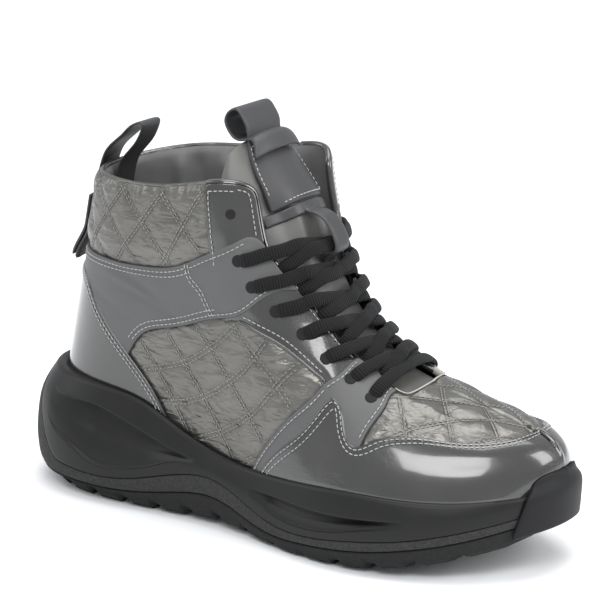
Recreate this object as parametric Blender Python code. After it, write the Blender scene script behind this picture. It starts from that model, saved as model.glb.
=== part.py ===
import math

import bmesh
import bpy
import numpy as np
from mathutils import Vector
from mathutils.bvhtree import BVHTree
from mathutils.geometry import delaunay_2d_cdt

# Right high-top sneaker boot, heel to the back, toe along +X, medial side +Y, floor at z = 0.
# The upper is drawn from two numbers: s runs once around the feather line, where the upper meets
# the sole (0 heel back, below 0.5 lateral, 0.5 toe tip, above 0.5 medial), and v climbs one rib
# from the feather line (0) to the collar edge or the instep ridge (1).

# driving sizes, metres
SHOE_LENGTH = 0.290
FEATHER_LENGTH = 0.267
FEATHER_BACK = -0.127
BALL_WIDTH = 0.100
COLLAR_HEIGHT = 0.160
SOLE_HEIGHT = 0.060
WALL = 0.0024
COLLAR_PAD = 0.0042
GAP = 0.0003
PANEL = 0.0012
INSOLE = 0.0042
TONGUE = 0.0042
LACE_WIDTH = 0.0064
LACE_THICK = 0.0036
WEBBING = 0.0016

for item in list(bpy.data.objects):
    bpy.data.objects.remove(item, do_unlink=True)

# feather line outline: along in feather lengths from the heel, side in ball widths, lateral minus
OUTLINE = np.array([
    [0.000, 0.000],
    [0.030, -0.210],
    [0.110, -0.325],
    [0.240, -0.350],
    [0.400, -0.380],
    [0.540, -0.450],
    [0.670, -0.510],
    [0.790, -0.485],
    [0.890, -0.375],
    [0.965, -0.190],
    [1.000, 0.060],
    [0.975, 0.260],
    [0.900, 0.400],
    [0.800, 0.465],
    [0.690, 0.475],
    [0.560, 0.410],
    [0.430, 0.335],
    [0.280, 0.305],
    [0.130, 0.305],
    [0.035, 0.210],
])
TOE_ROW = 10

# sole lines by length: share of the shoe length from the heel, then heights in sole heights of
# the feather line, the foot bed, line a (midsole over wedge), line b (wedge over outsole),
# the lower edge, the tread plane
LEVELS = np.array([
    [0.00, 1.000, 0.620, 0.400, 0.200, 0.140, 0.060],
    [0.06, 1.000, 0.620, 0.345, 0.170, 0.120, 0.020],
    [0.14, 0.985, 0.610, 0.270, 0.147, 0.110, 0.000],
    [0.20, 0.967, 0.600, 0.240, 0.142, 0.105, 0.000],
    [0.28, 0.900, 0.580, 0.283, 0.165, 0.092, 0.000],
    [0.36, 0.733, 0.550, 0.385, 0.235, 0.120, 0.020],
    [0.44, 0.617, 0.520, 0.425, 0.272, 0.137, 0.045],
    [0.50, 0.580, 0.470, 0.340, 0.205, 0.095, 0.020],
    [0.55, 0.577, 0.420, 0.250, 0.140, 0.050, 0.000],
    [0.64, 0.608, 0.390, 0.212, 0.140, 0.043, 0.000],
    [0.72, 0.630, 0.430, 0.262, 0.180, 0.092, 0.012],
    [0.80, 0.628, 0.470, 0.325, 0.245, 0.150, 0.075],
    [0.88, 0.635, 0.520, 0.415, 0.335, 0.235, 0.165],
    [0.94, 0.655, 0.570, 0.490, 0.415, 0.315, 0.255],
    [1.00, 0.683, 0.620, 0.560, 0.490, 0.390, 0.340],
])

# how far the sole stands outside the feather line, in ball widths: perimeter share from the heel
# back to the toe tip, then at the lip, upper third, lower third, line a, line b, lower edge
FLARE = np.array([
    [0.000, 0.070, 0.150, 0.172, 0.172, 0.145, 0.090],
    [0.040, 0.066, 0.140, 0.165, 0.165, 0.140, 0.090],
    [0.090, 0.050, 0.105, 0.125, 0.125, 0.110, 0.080],
    [0.140, 0.038, 0.075, 0.095, 0.098, 0.088, 0.066],
    [0.200, 0.032, 0.056, 0.072, 0.076, 0.070, 0.052],
    [0.260, 0.032, 0.052, 0.068, 0.072, 0.066, 0.046],
    [0.340, 0.034, 0.056, 0.070, 0.074, 0.068, 0.050],
    [0.420, 0.030, 0.048, 0.056, 0.058, 0.054, 0.042],
    [0.460, 0.026, 0.034, 0.036, 0.036, 0.032, 0.022],
    [0.500, 0.024, 0.026, 0.026, 0.024, 0.020, 0.010],
])

# leaf shaped recesses of the midsole side: share of the shoe length, upper line and lower rim as
# shares of the side height above line a, depth share
LEAF = np.array([
    [0.00, 0.74, 0.34, 0.0],
    [0.11, 0.76, 0.36, 0.0],
    [0.15, 0.79, 0.30, 0.5],
    [0.19, 0.80, 0.15, 1.0],
    [0.25, 0.72, 0.11, 1.0],
    [0.31, 0.62, 0.16, 0.8],
    [0.36, 0.54, 0.30, 0.4],
    [0.40, 0.50, 0.36, 0.0],
    [0.52, 0.54, 0.34, 0.0],
    [0.57, 0.60, 0.22, 0.6],
    [0.62, 0.58, 0.16, 1.0],
    [0.69, 0.52, 0.16, 0.9],
    [0.76, 0.50, 0.28, 0.4],
    [0.81, 0.52, 0.36, 0.0],
    [1.00, 0.56, 0.36, 0.0],
])
LEAF_DEPTH = 0.0042

# ribs of the upper: s, rib top along (feather lengths from the heel), half width and ridge side
# (ball widths), height (collar heights), inward lean at the foot of the rib (degrees), its handle
# share, angle below the horizontal at the top (degrees), its handle share
RIBS = np.array([
    [0.000, 0.071, 0.000, 0.000, 1.000, 10, 0.33, 80, 0.30],
    [0.055, 0.097, 0.220, 0.000, 0.997, 7, 0.33, 82, 0.30],
    [0.105, 0.169, 0.340, 0.000, 1.000, 2, 0.33, 85, 0.30],
    [0.160, 0.270, 0.375, 0.000, 1.009, 1, 0.33, 86, 0.30],
    [0.205, 0.356, 0.370, 0.000, 1.038, 3, 0.33, 82, 0.30],
    [0.240, 0.425, 0.315, 0.000, 1.047, 5, 0.34, 70, 0.28],
    [0.285, 0.506, 0.000, 0.000, 0.913, 10, 0.40, 4, 0.11],
    [0.325, 0.569, 0.000, 0.000, 0.694, 14, 0.42, 3, 0.14],
    [0.365, 0.655, 0.000, 0.010, 0.563, 16, 0.44, 2, 0.19],
    [0.410, 0.760, 0.000, 0.030, 0.484, 14, 0.47, 0, 0.25],
    [0.455, 0.854, 0.000, 0.050, 0.442, 6, 0.52, 0, 0.32],
    [0.500, 0.918, 0.000, 0.070, 0.409, -8, 0.58, 0, 0.46],
])
# the medial collar stands further out, forward and higher: along, side, height in metres
MEDIAL = np.array([
    [0.000, 0.000, 0.000],
    [0.000, 0.000, 0.002],
    [0.000, 0.000, 0.005],
    [0.000, 0.001, 0.006],
    [0.002, 0.003, 0.005],
    [0.005, 0.006, 0.004],
    [0.000, 0.000, 0.000],
    [0.000, 0.000, 0.000],
    [0.000, 0.000, 0.000],
    [0.000, 0.000, 0.000],
    [0.000, 0.000, 0.000],
    [0.000, 0.000, 0.000],
])
RIDGE_FROM = 0.285

# edge of the throat opening from the collar edge down to the ridge of the vamp: s, v
THROAT = np.array([
    [0.2380, 1.000],
    [0.2480, 0.985],
    [0.2525, 0.940],
    [0.2560, 0.870],
    [0.2590, 0.790],
    [0.2625, 0.705],
    [0.2690, 0.630],
    [0.2810, 0.560],
    [0.2970, 0.535],
    [0.3115, 0.565],
    [0.3260, 0.605],
    [0.3400, 0.645],
    [0.3540, 0.668],
    [0.3640, 0.650],
    [0.3710, 0.610],
    [0.3790, 0.610],
    [0.3880, 0.670],
    [0.3970, 0.800],
    [0.4040, 0.950],
    [0.4060, 1.000],
])
# panels that stand up from the wall, as closed outlines in s, v
MUDGUARD = np.array([
    [0.243, -0.30], [0.245, 0.00], [0.262, 0.085], [0.281, 0.145], [0.297, 0.225], [0.310, 0.300],
    [0.320, 0.312], [0.324, 0.270], [0.326, 0.205], [0.332, 0.180], [0.340, 0.200], [0.351, 0.245],
    [0.372, 0.300], [0.392, 0.335], [0.411, 0.350], [0.430, 0.370], [0.450, 0.425], [0.468, 0.560],
    [0.485, 0.720], [0.500, 0.800], [0.52, 0.80], [0.52, -0.30],
])
COUNTER = np.array([
    [-0.02, 0.520], [0.030, 0.510], [0.058, 0.475], [0.079, 0.360], [0.103, 0.230], [0.127, 0.115],
    [0.148, 0.000], [0.155, -0.30], [-0.02, -0.30],
])
EYESTAY = np.array([
    [-0.02, 0.600], [0.060, 0.600], [0.107, 0.605], [0.144, 0.635], [0.179, 0.680], [0.202, 0.720],
    [0.230, 0.762], [0.250, 0.785], [0.262, 0.770], [0.290, 0.800], [0.350, 0.850], [0.372, 0.640],
    [0.363, 0.450], [0.352, 0.330], [0.343, 0.240], [0.337, 0.150], [0.325, 0.120], [0.314, 0.220],
    [0.300, 0.180], [0.281, 0.090], [0.262, 0.030], [0.248, -0.06], [0.234, -0.06], [0.239, 0.030],
    [0.252, 0.110], [0.271, 0.185], [0.289, 0.250], [0.302, 0.330], [0.294, 0.335], [0.280, 0.350],
    [0.266, 0.395], [0.252, 0.450], [0.236, 0.500], [0.209, 0.495], [0.181, 0.450], [0.152, 0.385],
    [0.127, 0.310], [0.105, 0.220], [0.079, 0.330], [0.055, 0.470], [0.028, 0.500], [-0.02, 0.505],
])
FLAP = np.array([
    [0.211, 1.20], [0.212, 0.975], [0.214, 0.880], [0.214, 0.700], [0.270, 0.700], [0.270, 1.20],
])
# panel outline, its height in panel thicknesses, closed smooth or straight corners
PANELS = [(MUDGUARD, 1.0), (COUNTER, 1.0), (EYESTAY, 0.75), (FLAP, 0.75)]
CUFF_LOW = np.array([[0.0, 0.60], [0.11, 0.605], [0.16, 0.655], [0.21, 0.73], [0.25, 0.785], [0.30, 0.80]])
TUCK = 0.22
TUCK_INSET = 0.0015

# lace holes and the throat edge beside each, top row first: hole s, v, edge s, v
EYELETS = np.array([
    [0.242, 0.705, 0.263, 0.700],
    [0.251, 0.600, 0.269, 0.630],
    [0.265, 0.495, 0.281, 0.560],
    [0.282, 0.430, 0.299, 0.535],
    [0.305, 0.420, 0.328, 0.610],
    [0.333, 0.470, 0.352, 0.665],
    [0.351, 0.450, 0.365, 0.640],
])

# tongue rows from under the vamp to its top edge: centre x and height in metres, half width,
# depth of the arch at its edges
TONGUE_ROWS = np.array([
    [0.0900, 0.0706, 0.018, 0.0052],
    [0.0800, 0.0742, 0.023, 0.0075],
    [0.0700, 0.0790, 0.028, 0.0105],
    [0.0560, 0.0855, 0.031, 0.0130],
    [0.0420, 0.0940, 0.032, 0.0150],
    [0.0300, 0.1055, 0.033, 0.0170],
    [0.0210, 0.1180, 0.033, 0.0190],
    [0.0140, 0.1310, 0.033, 0.0210],
    [0.0080, 0.1450, 0.033, 0.0230],
    [0.0010, 0.1580, 0.033, 0.0240],
    [-0.0080, 0.1700, 0.031, 0.0230],
    [-0.0170, 0.1800, 0.026, 0.0150],
    [-0.0220, 0.1850, 0.021, 0.0080],
])


# smooth curve through rows of values, closed (period one) or with free ends
def closed_curve(knots, values, at):
    k = np.asarray(knots, float)
    y = np.asarray(values, float)
    n = len(k)
    h = np.diff(np.append(k, k[0] + 1.0))
    system = np.zeros((n, n))
    right = np.zeros((n, y.shape[1]))
    for i in range(n):
        before = (i - 1) % n
        after = (i + 1) % n
        system[i, before] += h[before]
        system[i, i] += 2 * (h[before] + h[i])
        system[i, after] += h[i]
        right[i] = 6 * ((y[after] - y[i]) / h[i] - (y[i] - y[before]) / h[before])
    m = np.linalg.solve(system, right)
    u = np.mod(np.asarray(at, float) - k[0], 1.0) + k[0]
    i = np.clip(np.searchsorted(k, u, side="right") - 1, 0, n - 1)
    j = (i + 1) % n
    t = (u - k[i])[:, None]
    w = h[i][:, None]
    bend = (m[i] * (w - t) ** 3 + m[j] * t ** 3) / (6 * w)
    return bend + (y[i] / w - m[i] * w / 6) * (w - t) + (y[j] / w - m[j] * w / 6) * t


def open_curve(knots, values, at):
    k = np.asarray(knots, float)
    y = np.asarray(values, float)
    n = len(k)
    h = np.diff(k)
    system = np.eye(n)
    right = np.zeros((n, y.shape[1]))
    for i in range(1, n - 1):
        system[i, i - 1] = h[i - 1]
        system[i, i] = 2 * (h[i - 1] + h[i])
        system[i, i + 1] = h[i]
        right[i] = 6 * ((y[i + 1] - y[i]) / h[i] - (y[i] - y[i - 1]) / h[i - 1])
    m = np.linalg.solve(system, right)
    u = np.clip(np.asarray(at, float), k[0], k[-1])
    i = np.clip(np.searchsorted(k, u, side="right") - 1, 0, n - 2)
    t = (u - k[i])[:, None]
    w = h[i][:, None]
    bend = (m[i] * (w - t) ** 3 + m[i + 1] * t ** 3) / (6 * w)
    return bend + (y[i] / w - m[i] * w / 6) * (w - t) + (y[i + 1] / w - m[i + 1] * w / 6) * t


def smooth_line(rows, count):
    rows = np.asarray(rows, float)
    d = np.linalg.norm(np.diff(rows * PLANE, axis=0), axis=1)
    k = np.append(0.0, np.cumsum(d))
    return open_curve(k, rows, np.linspace(0, k[-1], count))


def ease(t):
    t = np.clip(t, 0.0, 1.0)
    return t * t * (3 - 2 * t)


# one unit of s and of v in metres, for distances in the s, v plane
PLANE = np.array([0.60, 0.11])


def outline_knots():
    p = OUTLINE * [FEATHER_LENGTH, BALL_WIDTH]
    d = np.linalg.norm(np.roll(p, -1, 0) - p, axis=1)
    lateral = np.append(0.0, np.cumsum(d[:TOE_ROW]))
    medial = np.append(0.0, np.cumsum(d[TOE_ROW:]))
    first = lateral[:-1] / lateral[-1] * 0.5
    return np.concatenate([first, 0.5 + medial[:-1] / medial[-1] * 0.5])


KNOTS = outline_knots()


# feather line point and its outward direction
def plan(s):
    s = np.asarray(s, float)
    size = np.array([FEATHER_LENGTH, BALL_WIDTH])
    q = closed_curve(KNOTS, OUTLINE, s) * size
    e = 1e-4
    d = (closed_curve(KNOTS, OUTLINE, s + e) - closed_curve(KNOTS, OUTLINE, s - e)) * size
    n = np.stack([d[:, 1], -d[:, 0]], 1)
    n /= np.linalg.norm(n, axis=1)[:, None]
    return q + [FEATHER_BACK, 0.0], n


# heights of the sole lines at x: feather, bed, a, b, lower edge, tread
def levels(x):
    t = (np.asarray(x, float) + SHOE_LENGTH / 2) / SHOE_LENGTH
    rise = open_curve(LEVELS[:, 0], LEVELS[:, 1:], t) * SOLE_HEIGHT
    rise[..., 5] = np.maximum(rise[..., 5], 0)
    return rise


def fold(s):
    s = np.mod(s, 1.0)
    return np.minimum(s, 1.0 - s)


# top point and handles of the ribs at s
def rib_rows(s):
    s = np.mod(np.asarray(s, float), 1.0)
    side = np.where(s <= 0.5, -1.0, 1.0)
    k = np.concatenate([RIBS[:, 0], 1 - RIBS[1:-1, 0][::-1]])
    odd = RIBS[:, 2:3]
    odd = np.concatenate([-odd, odd[1:-1][::-1]])
    keep = [1, 3, 4, 5, 6, 7, 8]
    even = np.concatenate([RIBS[:, keep], RIBS[1:-1, keep][::-1]])
    extra = np.concatenate([MEDIAL * 0, MEDIAL[1:-1][::-1]])
    r = closed_curve(k, even, s)
    fade = 1 - ease((fold(s) - 0.33) / 0.07)
    width = closed_curve(k, odd, s)[:, 0] * BALL_WIDTH * fade
    more = closed_curve(k, extra, s) * (fade * (side > 0) + fade * (side < 0) * 1.0)[:, None]
    top = np.column_stack([
        FEATHER_BACK + r[:, 0] * FEATHER_LENGTH + more[:, 0],
        width + r[:, 1] * BALL_WIDTH + more[:, 1],
        r[:, 2] * COLLAR_HEIGHT + more[:, 2],
    ])
    return top, r[:, 3:]


# the form the upper is built on: point at s, v; below v = 0 it tucks into the sole cup
def last(s, v):
    s = np.asarray(s, float)
    shape = s.shape
    s = s.ravel()
    v = np.asarray(v, float).ravel()
    foot, out = plan(s)
    lev = levels(foot[:, 0])
    base = np.column_stack([foot, lev[:, 0]])
    top, hand = rib_rows(s)
    n = np.column_stack([out, np.zeros(len(s))])
    up = np.array([0, 0, 1.0])
    size = np.linalg.norm(top - base, axis=1)[:, None]
    lean = np.radians(hand[:, 0])[:, None]
    drop = np.radians(hand[:, 2])[:, None]
    e = 2e-3
    ahead = (rib_rows(s + e)[0] - rib_rows(s - e)[0]) * np.where(np.mod(s, 1) <= 0.5, 1.0, -1.0)[:, None]
    slope = np.clip(ahead[:, 2] / np.maximum(np.abs(ahead[:, 0]), 2e-4), -1.2, 0.3)
    slope = slope * np.clip((fold(s) - 0.25) / 0.03, 0, 1)
    ridge = np.column_stack([np.ones(len(s)), np.zeros(len(s)), slope])
    ridge /= np.linalg.norm(ridge, axis=1)[:, None]
    side = out[:, :1] * ridge + out[:, 1:] * np.array([0, 1.0, 0])
    side /= np.linalg.norm(side, axis=1)[:, None]
    one = base + size * hand[:, 1:2] * (np.cos(lean) * up - np.sin(lean) * n)
    two = top + size * hand[:, 3:4] * (np.cos(drop) * side - np.sin(drop) * up)
    t = np.clip(v, 0, 1)[:, None]
    w = 1 - t
    p = w ** 3 * base + 3 * w ** 2 * t * one + 3 * w * t ** 2 * two + t ** 3 * top
    low = np.clip(-v, 0, TUCK) / TUCK
    p -= n * (low * TUCK_INSET)[:, None]
    p[:, 2] -= low * (lev[:, 0] - lev[:, 1] - GAP)
    return p.reshape(*shape, 3)


# outward direction of the form
def facing(s, v):
    s = np.asarray(s, float)
    v = np.asarray(v, float)
    at = np.where(v < 0, v, np.clip(v, 0.02, 0.965))
    e = 1.5e-3

    def one_side(t):
        a = last(t + e, at) - last(t - e, at)
        b = last(t, at + 0.012) - last(t, at - 0.012)
        n = np.cross(a, b)
        return n / np.linalg.norm(n, axis=-1)[..., None]

    n = one_side(s)
    joint = ((v > 0.999) & (fold(s) > RIDGE_FROM))[..., None]
    n = np.where(joint, n + one_side(1 - s), n)
    return n / np.linalg.norm(n, axis=-1)[..., None]


# signed distance in the s, v plane to a closed outline, inside positive
def inside_by(q, loop):
    p = q * PLANE
    a = loop * PLANE
    b = np.roll(a, -1, 0)
    best = np.full(len(p), 1e9)
    cross = np.zeros(len(p), int)
    for i in range(len(a)):
        e = b[i] - a[i]
        w = p - a[i]
        t = np.clip((w @ e) / max(e @ e, 1e-18), 0, 1)
        best = np.minimum(best, np.linalg.norm(w - t[:, None] * e, axis=1))
        hit = (a[i, 1] > p[:, 1]) != (b[i, 1] > p[:, 1])
        rise = e[1] if abs(e[1]) > 1e-15 else 1e-15
        cross += hit & (p[:, 0] < a[i, 0] + e[0] * (p[:, 1] - a[i, 1]) / rise)
    return np.where(cross % 2 == 1, best, -best)


STEP = 0.0007


# how far the outer face stands out from the form
def relief(s, v):
    s = fold(np.asarray(s, float))
    v = np.asarray(v, float)
    q = np.column_stack([s.ravel(), v.ravel()])
    out = np.zeros(len(q))
    for loop, height in PANELS:
        out = np.maximum(out, height * PANEL * np.clip(0.5 + inside_by(q, loop) / STEP, 0, 1))
    out = np.maximum(out, PANEL * np.clip(-q[:, 1] / 0.012, 0, 1))
    return out.reshape(s.shape) + cuff_pad(s, v) * 0.35


# padding of the cuff: grows from its lower edge, rounds off at the collar edge
def cuff_pad(s, v):
    s = fold(np.asarray(s, float))
    v = np.asarray(v, float)
    low = np.interp(s, CUFF_LOW[:, 0], CUFF_LOW[:, 1])
    t = np.clip((v - low) / (1 - low), 0, 1)
    lobe = np.sqrt(np.clip(1 - np.clip((t - 0.72) / 0.28, 0, 1) ** 2, 0, 1))
    fade = 1 - ease((s - 0.21) / 0.03)
    return COLLAR_PAD * ease(t / 0.25) * (0.12 + 0.88 * lobe) * fade


def material(name, tint, rough, metal=0.0):
    m = bpy.data.materials.new(name)
    m.use_nodes = True
    node = m.node_tree.nodes["Principled BSDF"]
    node.inputs["Base Color"].default_value = (*tint, 1)
    node.inputs["Roughness"].default_value = rough
    node.inputs["Metallic"].default_value = metal
    m.diffuse_color = (*tint, 1)
    return m


# closed mesh object from points and faces, faces turned outward
def solid(name, points, faces, mat, merge=True):
    bm = bmesh.new()
    verts = [bm.verts.new(p) for p in points]
    for f in faces:
        if len(set(f)) > 2:
            bm.faces.new([verts[i] for i in f])
    if merge:
        bmesh.ops.remove_doubles(bm, verts=bm.verts, dist=0.0000005)
    bmesh.ops.triangulate(bm, faces=bm.faces)
    bmesh.ops.recalc_face_normals(bm, faces=bm.faces)
    if bm.calc_volume(signed=True) < 0:
        bmesh.ops.reverse_faces(bm, faces=bm.faces)
    mesh = bpy.data.meshes.new(name)
    bm.to_mesh(mesh)
    bm.free()
    mesh.materials.append(mat)
    ob = bpy.data.objects.new(name, mesh)
    bpy.context.scene.collection.objects.link(ob)
    return ob


# rings of one point count stacked into a closed wall, both ends closed by cross strips
def ring_solid(name, rings, mat):
    n = len(rings[0])
    points = np.concatenate(rings)
    faces = []
    for r in range(len(rings) - 1):
        for i in range(n):
            j = (i + 1) % n
            faces.append((r * n + i, r * n + j, (r + 1) * n + j, (r + 1) * n + i))
    for r in (0, len(rings) - 1):
        for i in range(n // 2):
            a = r * n + i
            b = r * n + i + 1
            c = r * n + (n - i - 1) % n
            d = r * n + (n - i) % n
            faces.append((a, b, c, d))
    faces = [tuple(dict.fromkeys(f)) for f in faces]
    return solid(name, points, faces, mat)


# two matching grids of points joined along their borders
def shell_solid(name, front, back, mat):
    m, n = front.shape[:2]
    points = np.concatenate([front.reshape(-1, 3), back.reshape(-1, 3)])
    half = m * n
    faces = []
    for i in range(m - 1):
        for j in range(n - 1):
            a = i * n + j
            faces.append((a, a + 1, a + n + 1, a + n))
            faces.append((half + a, half + a + n, half + a + n + 1, half + a + 1))
    border = [j for j in range(n)] + [i * n + n - 1 for i in range(1, m)]
    border += [(m - 1) * n + j for j in range(n - 2, -1, -1)] + [i * n for i in range(m - 2, 0, -1)]
    for a, b in zip(border, border[1:] + border[:1]):
        faces.append((a, half + a, half + b, b))
    return solid(name, points, faces, mat)


def grid_normals(g):
    n = np.cross(np.gradient(g, axis=0), np.gradient(g, axis=1))
    return n / np.maximum(np.linalg.norm(n, axis=-1)[..., None], 1e-12)


def sheet_solid(name, middle, thick, mat):
    n = grid_normals(middle)
    return shell_solid(name, middle + n * thick / 2, middle - n * thick / 2, mat)


# upper
LEATHER = material("upper_leather", (0.18, 0.18, 0.185), 0.45)


# half of the s, v plane cut into triangles, with the given lines kept as edges
def cut_plane(border, lines, spots):
    pts = [tuple(p * PLANE) for p in border]
    edges = [(i, (i + 1) % len(border)) for i in range(len(border))]
    for line in lines:
        at = len(pts)
        pts += [tuple(p * PLANE) for p in line]
        edges += [(at + i, at + i + 1) for i in range(len(line) - 1)]
    pts += [tuple(p * PLANE) for p in spots]
    got = delaunay_2d_cdt([Vector(p) for p in pts], edges, [], 0, 1e-6)
    q = np.array([tuple(p) for p in got[0]]) / PLANE
    tris = np.array([f for f in got[2] if len(f) == 3])
    mid = q[tris].mean(axis=1)
    tris = tris[inside_by(mid, border) > 1e-8]
    used = np.unique(tris)
    back = np.full(len(q), -1)
    back[used] = np.arange(len(used))
    return q[used], back[tris]


def border_of(tris):
    seen = {}
    for t in tris:
        for i in range(3):
            a = int(t[i])
            b = int(t[(i + 1) % 3])
            if (b, a) in seen:
                del seen[(b, a)]
            else:
                seen[(a, b)] = True
    follow = {a: b for a, b in seen}
    start = next(iter(follow))
    loop = [start]
    while follow[loop[-1]] != start:
        loop.append(follow[loop[-1]])
    return loop


def shifted(loop, by):
    a = loop * PLANE
    t = np.roll(a, -1, 0) - np.roll(a, 1, 0)
    n = np.stack([t[:, 1], -t[:, 0]], 1)
    n /= np.maximum(np.linalg.norm(n, axis=1)[:, None], 1e-9)
    return (a + n * by) / PLANE


def make_upper():
    throat = smooth_line(THROAT, 36)
    throat[:, 1] = np.minimum(throat[:, 1], 1.0)
    throat[0] = THROAT[0]
    throat[-1] = THROAT[-1]
    ridge_s = np.linspace(THROAT[-1, 0], 0.5, 9)[1:]
    toe_v = np.linspace(1, -TUCK, 12)[1:-1]
    low_s = np.linspace(0.5, 0.0, 31)
    heel_v = np.linspace(-TUCK, 1, 12)[1:-1]
    rim_s = np.linspace(0.0, THROAT[0, 0], 18)[:-1]
    border = np.concatenate([
        throat,
        np.column_stack([ridge_s, np.ones(len(ridge_s))]),
        np.column_stack([np.full(len(toe_v), 0.5), toe_v]),
        np.column_stack([low_s, np.full(len(low_s), -TUCK)]),
        np.column_stack([np.zeros(len(heel_v)), heel_v]),
        np.column_stack([rim_s, np.ones(len(rim_s))]),
    ])
    lines = []
    for loop, height in PANELS:
        for by in (-STEP / 2, STEP / 2):
            side = shifted(loop, by)
            lines.append(np.vstack([side, side[:1]]))
    s_flat = np.linspace(0, 0.5, 29)
    lines.append(np.column_stack([s_flat, np.zeros(29)]))
    lines.append(np.column_stack([s_flat, np.full(29, -0.014)]))
    for v in (0.90, 0.965):
        lines.append(np.column_stack([np.linspace(0, 0.235, 16), np.full(16, v)]))
    gs, gv = np.meshgrid(np.linspace(0, 0.5, 31)[1:-1], np.linspace(-TUCK, 1, 12)[1:-1])
    spots = np.column_stack([gs.ravel(), gv.ravel()])
    near = inside_by(spots, border) > 0.003
    for loop, height in PANELS:
        near &= np.abs(inside_by(spots, loop)) > 0.003
    toe_spot = np.array([[0.4935, 0.950]])
    q_out, t_out = cut_plane(border, lines, np.vstack([spots[near], toe_spot]))
    ring = border_of(t_out)
    hs, hv = np.meshgrid(np.linspace(0, 0.5, 25)[1:-1], np.linspace(-TUCK, 1, 9)[1:-1])
    spots = np.column_stack([hs.ravel(), hv.ravel()])
    spots = spots[inside_by(spots, border) > 0.005]
    rim_rows = [np.column_stack([np.linspace(0, 0.235, 14), np.full(14, v)]) for v in (0.88, 0.96)]
    q_in, t_in = cut_plane(q_out[ring], rim_rows, np.vstack([spots, toe_spot]))
    ring_in = border_of(t_in)

    points = []
    faces = []
    for mirror in (False, True):
        s = 1 - q_out[:, 0] if mirror else q_out[:, 0]
        n = facing(s, q_out[:, 1])
        outer = last(s, q_out[:, 1]) + n * relief(s, q_out[:, 1])[:, None]
        s_in = 1 - q_in[:, 0] if mirror else q_in[:, 0]
        n = facing(s_in, q_in[:, 1])
        deep = WALL + 0.65 * cuff_pad(s_in, q_in[:, 1])
        inner = last(s_in, q_in[:, 1]) - n * deep[:, None]
        at = sum(len(p) for p in points)
        points += [outer, inner]
        flip = -1 if mirror else 1
        faces += [tuple(int(i) + at for i in t[::flip]) for t in t_out]
        to = at + len(outer)
        faces += [tuple(int(i) + to for i in t[::-flip]) for t in t_in]
        # rim: every border corner of the outer face has its twin on the inner face
        key = {tuple(np.round(q_in[i], 6)): i for i in ring_in}
        for a, b in zip(ring, ring[1:] + ring[:1]):
            mid = (q_out[a] + q_out[b]) / 2
            if abs(mid[0]) < 1e-6 or abs(mid[0] - 0.5) < 1e-6:
                continue
            if mid[1] > 0.9999 and mid[0] > RIDGE_FROM:
                continue
            c = key[tuple(np.round(q_out[b], 6))]
            d = key[tuple(np.round(q_out[a], 6))]
            quad = (b + at, a + at, d + to, c + to)
            faces.append(quad[::flip])
    return solid("upper", np.concatenate(points), faces, LEATHER)


make_upper()

# sole
COUNT = 72
RING_S = np.arange(COUNT) / COUNT
FOOT, OUT = plan(RING_S)
LEV = levels(FOOT[:, 0])
FLARES = open_curve(FLARE[:, 0], FLARE[:, 1:], fold(RING_S)) * BALL_WIDTH
ALONG = (FOOT[:, 0] + SHOE_LENGTH / 2) / SHOE_LENGTH


def ring(offset, z):
    xy = FOOT + OUT * np.broadcast_to(offset, (COUNT,))[:, None]
    return np.column_stack([xy, np.broadcast_to(z, (COUNT,))])


# the sole side between the lower edge and the lip: offset at height z
def side_at(z):
    z = np.broadcast_to(z, (COUNT,))
    out = np.zeros(COUNT)
    for i in range(COUNT):
        lip, bed, a, b, low, tread = LEV[i]
        heights = [low, b, a, a + (lip - a) / 3, a + (lip - a) * 2 / 3, lip]
        out[i] = np.interp(z[i], heights, FLARES[i][::-1])
    return out


LIP = LEV[:, 0]
LINE_A = LEV[:, 2]
LINE_B = LEV[:, 3]
LOW_EDGE = LEV[:, 4]
TREAD = LEV[:, 5]
# behind the heel the wedge climbs to a thin tab
TAB = 1 - ease((fold(RING_S) - 0.022) / 0.040)
TAB_TOP = LINE_A + TAB * (LIP - 0.004 - LINE_A)
TAB_THICK = 0.0040
CUP = PANEL + 2 * GAP

RUBBER = material("midsole_foam", (0.030, 0.030, 0.034), 0.55)


def make_midsole():
    side_a = side_at(TAB_TOP)
    rows = open_curve(LEAF[:, 0], LEAF[:, 1:], ALONG)
    depth = LEAF_DEPTH * np.clip(rows[:, 2], 0, 1)
    high = LIP - TAB_TOP
    base = np.where(TAB > 0, TAB_TOP, LINE_A)
    up = base + high * rows[:, 0]
    low = base + high * rows[:, 1]
    deep_z = up - (up - low) * 0.22
    mid_z = up - (up - low) * 0.55
    rings = [
        ring(side_a - TAB_THICK - 0.0008, LINE_A + GAP / 2),
        ring(side_a - TAB_THICK - GAP, TAB_TOP + GAP / 2),
        ring(side_a, TAB_TOP + GAP / 2),
        ring(side_at(low), low),
        ring(side_at(mid_z) - depth * 0.55, mid_z),
        ring(side_at(deep_z) - depth, deep_z),
        ring(side_at(up), up),
        ring(side_at(LIP - 0.0012), LIP - 0.0012),
        ring(FLARES[:, 0] - 0.0008, LIP),
        ring(CUP, LIP),
        ring(CUP - TUCK_INSET, LEV[:, 1] - GAP),
    ]
    return ring_solid("midsole", rings, RUBBER)


WEDGE = material("wedge_foam", (0.075, 0.075, 0.080), 0.80)


def make_wedge():
    side_a = side_at(TAB_TOP)
    rings = [
        ring(FLARES[:, 4] - 0.0040, LINE_B + GAP / 2),
        ring(FLARES[:, 4], LINE_B + GAP / 2),
        ring(side_at(TAB_TOP * 0.4 + LINE_A * 0.6), TAB_TOP * 0.4 + LINE_A * 0.6 - 0.0006),
        ring(side_a, TAB_TOP - GAP / 2),
        ring(side_a - TAB_THICK, TAB_TOP - GAP / 2),
        ring(side_a - TAB_THICK - 0.0005, LINE_A - GAP / 2),
    ]
    return ring_solid("wedge", rings, WEDGE)


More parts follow.
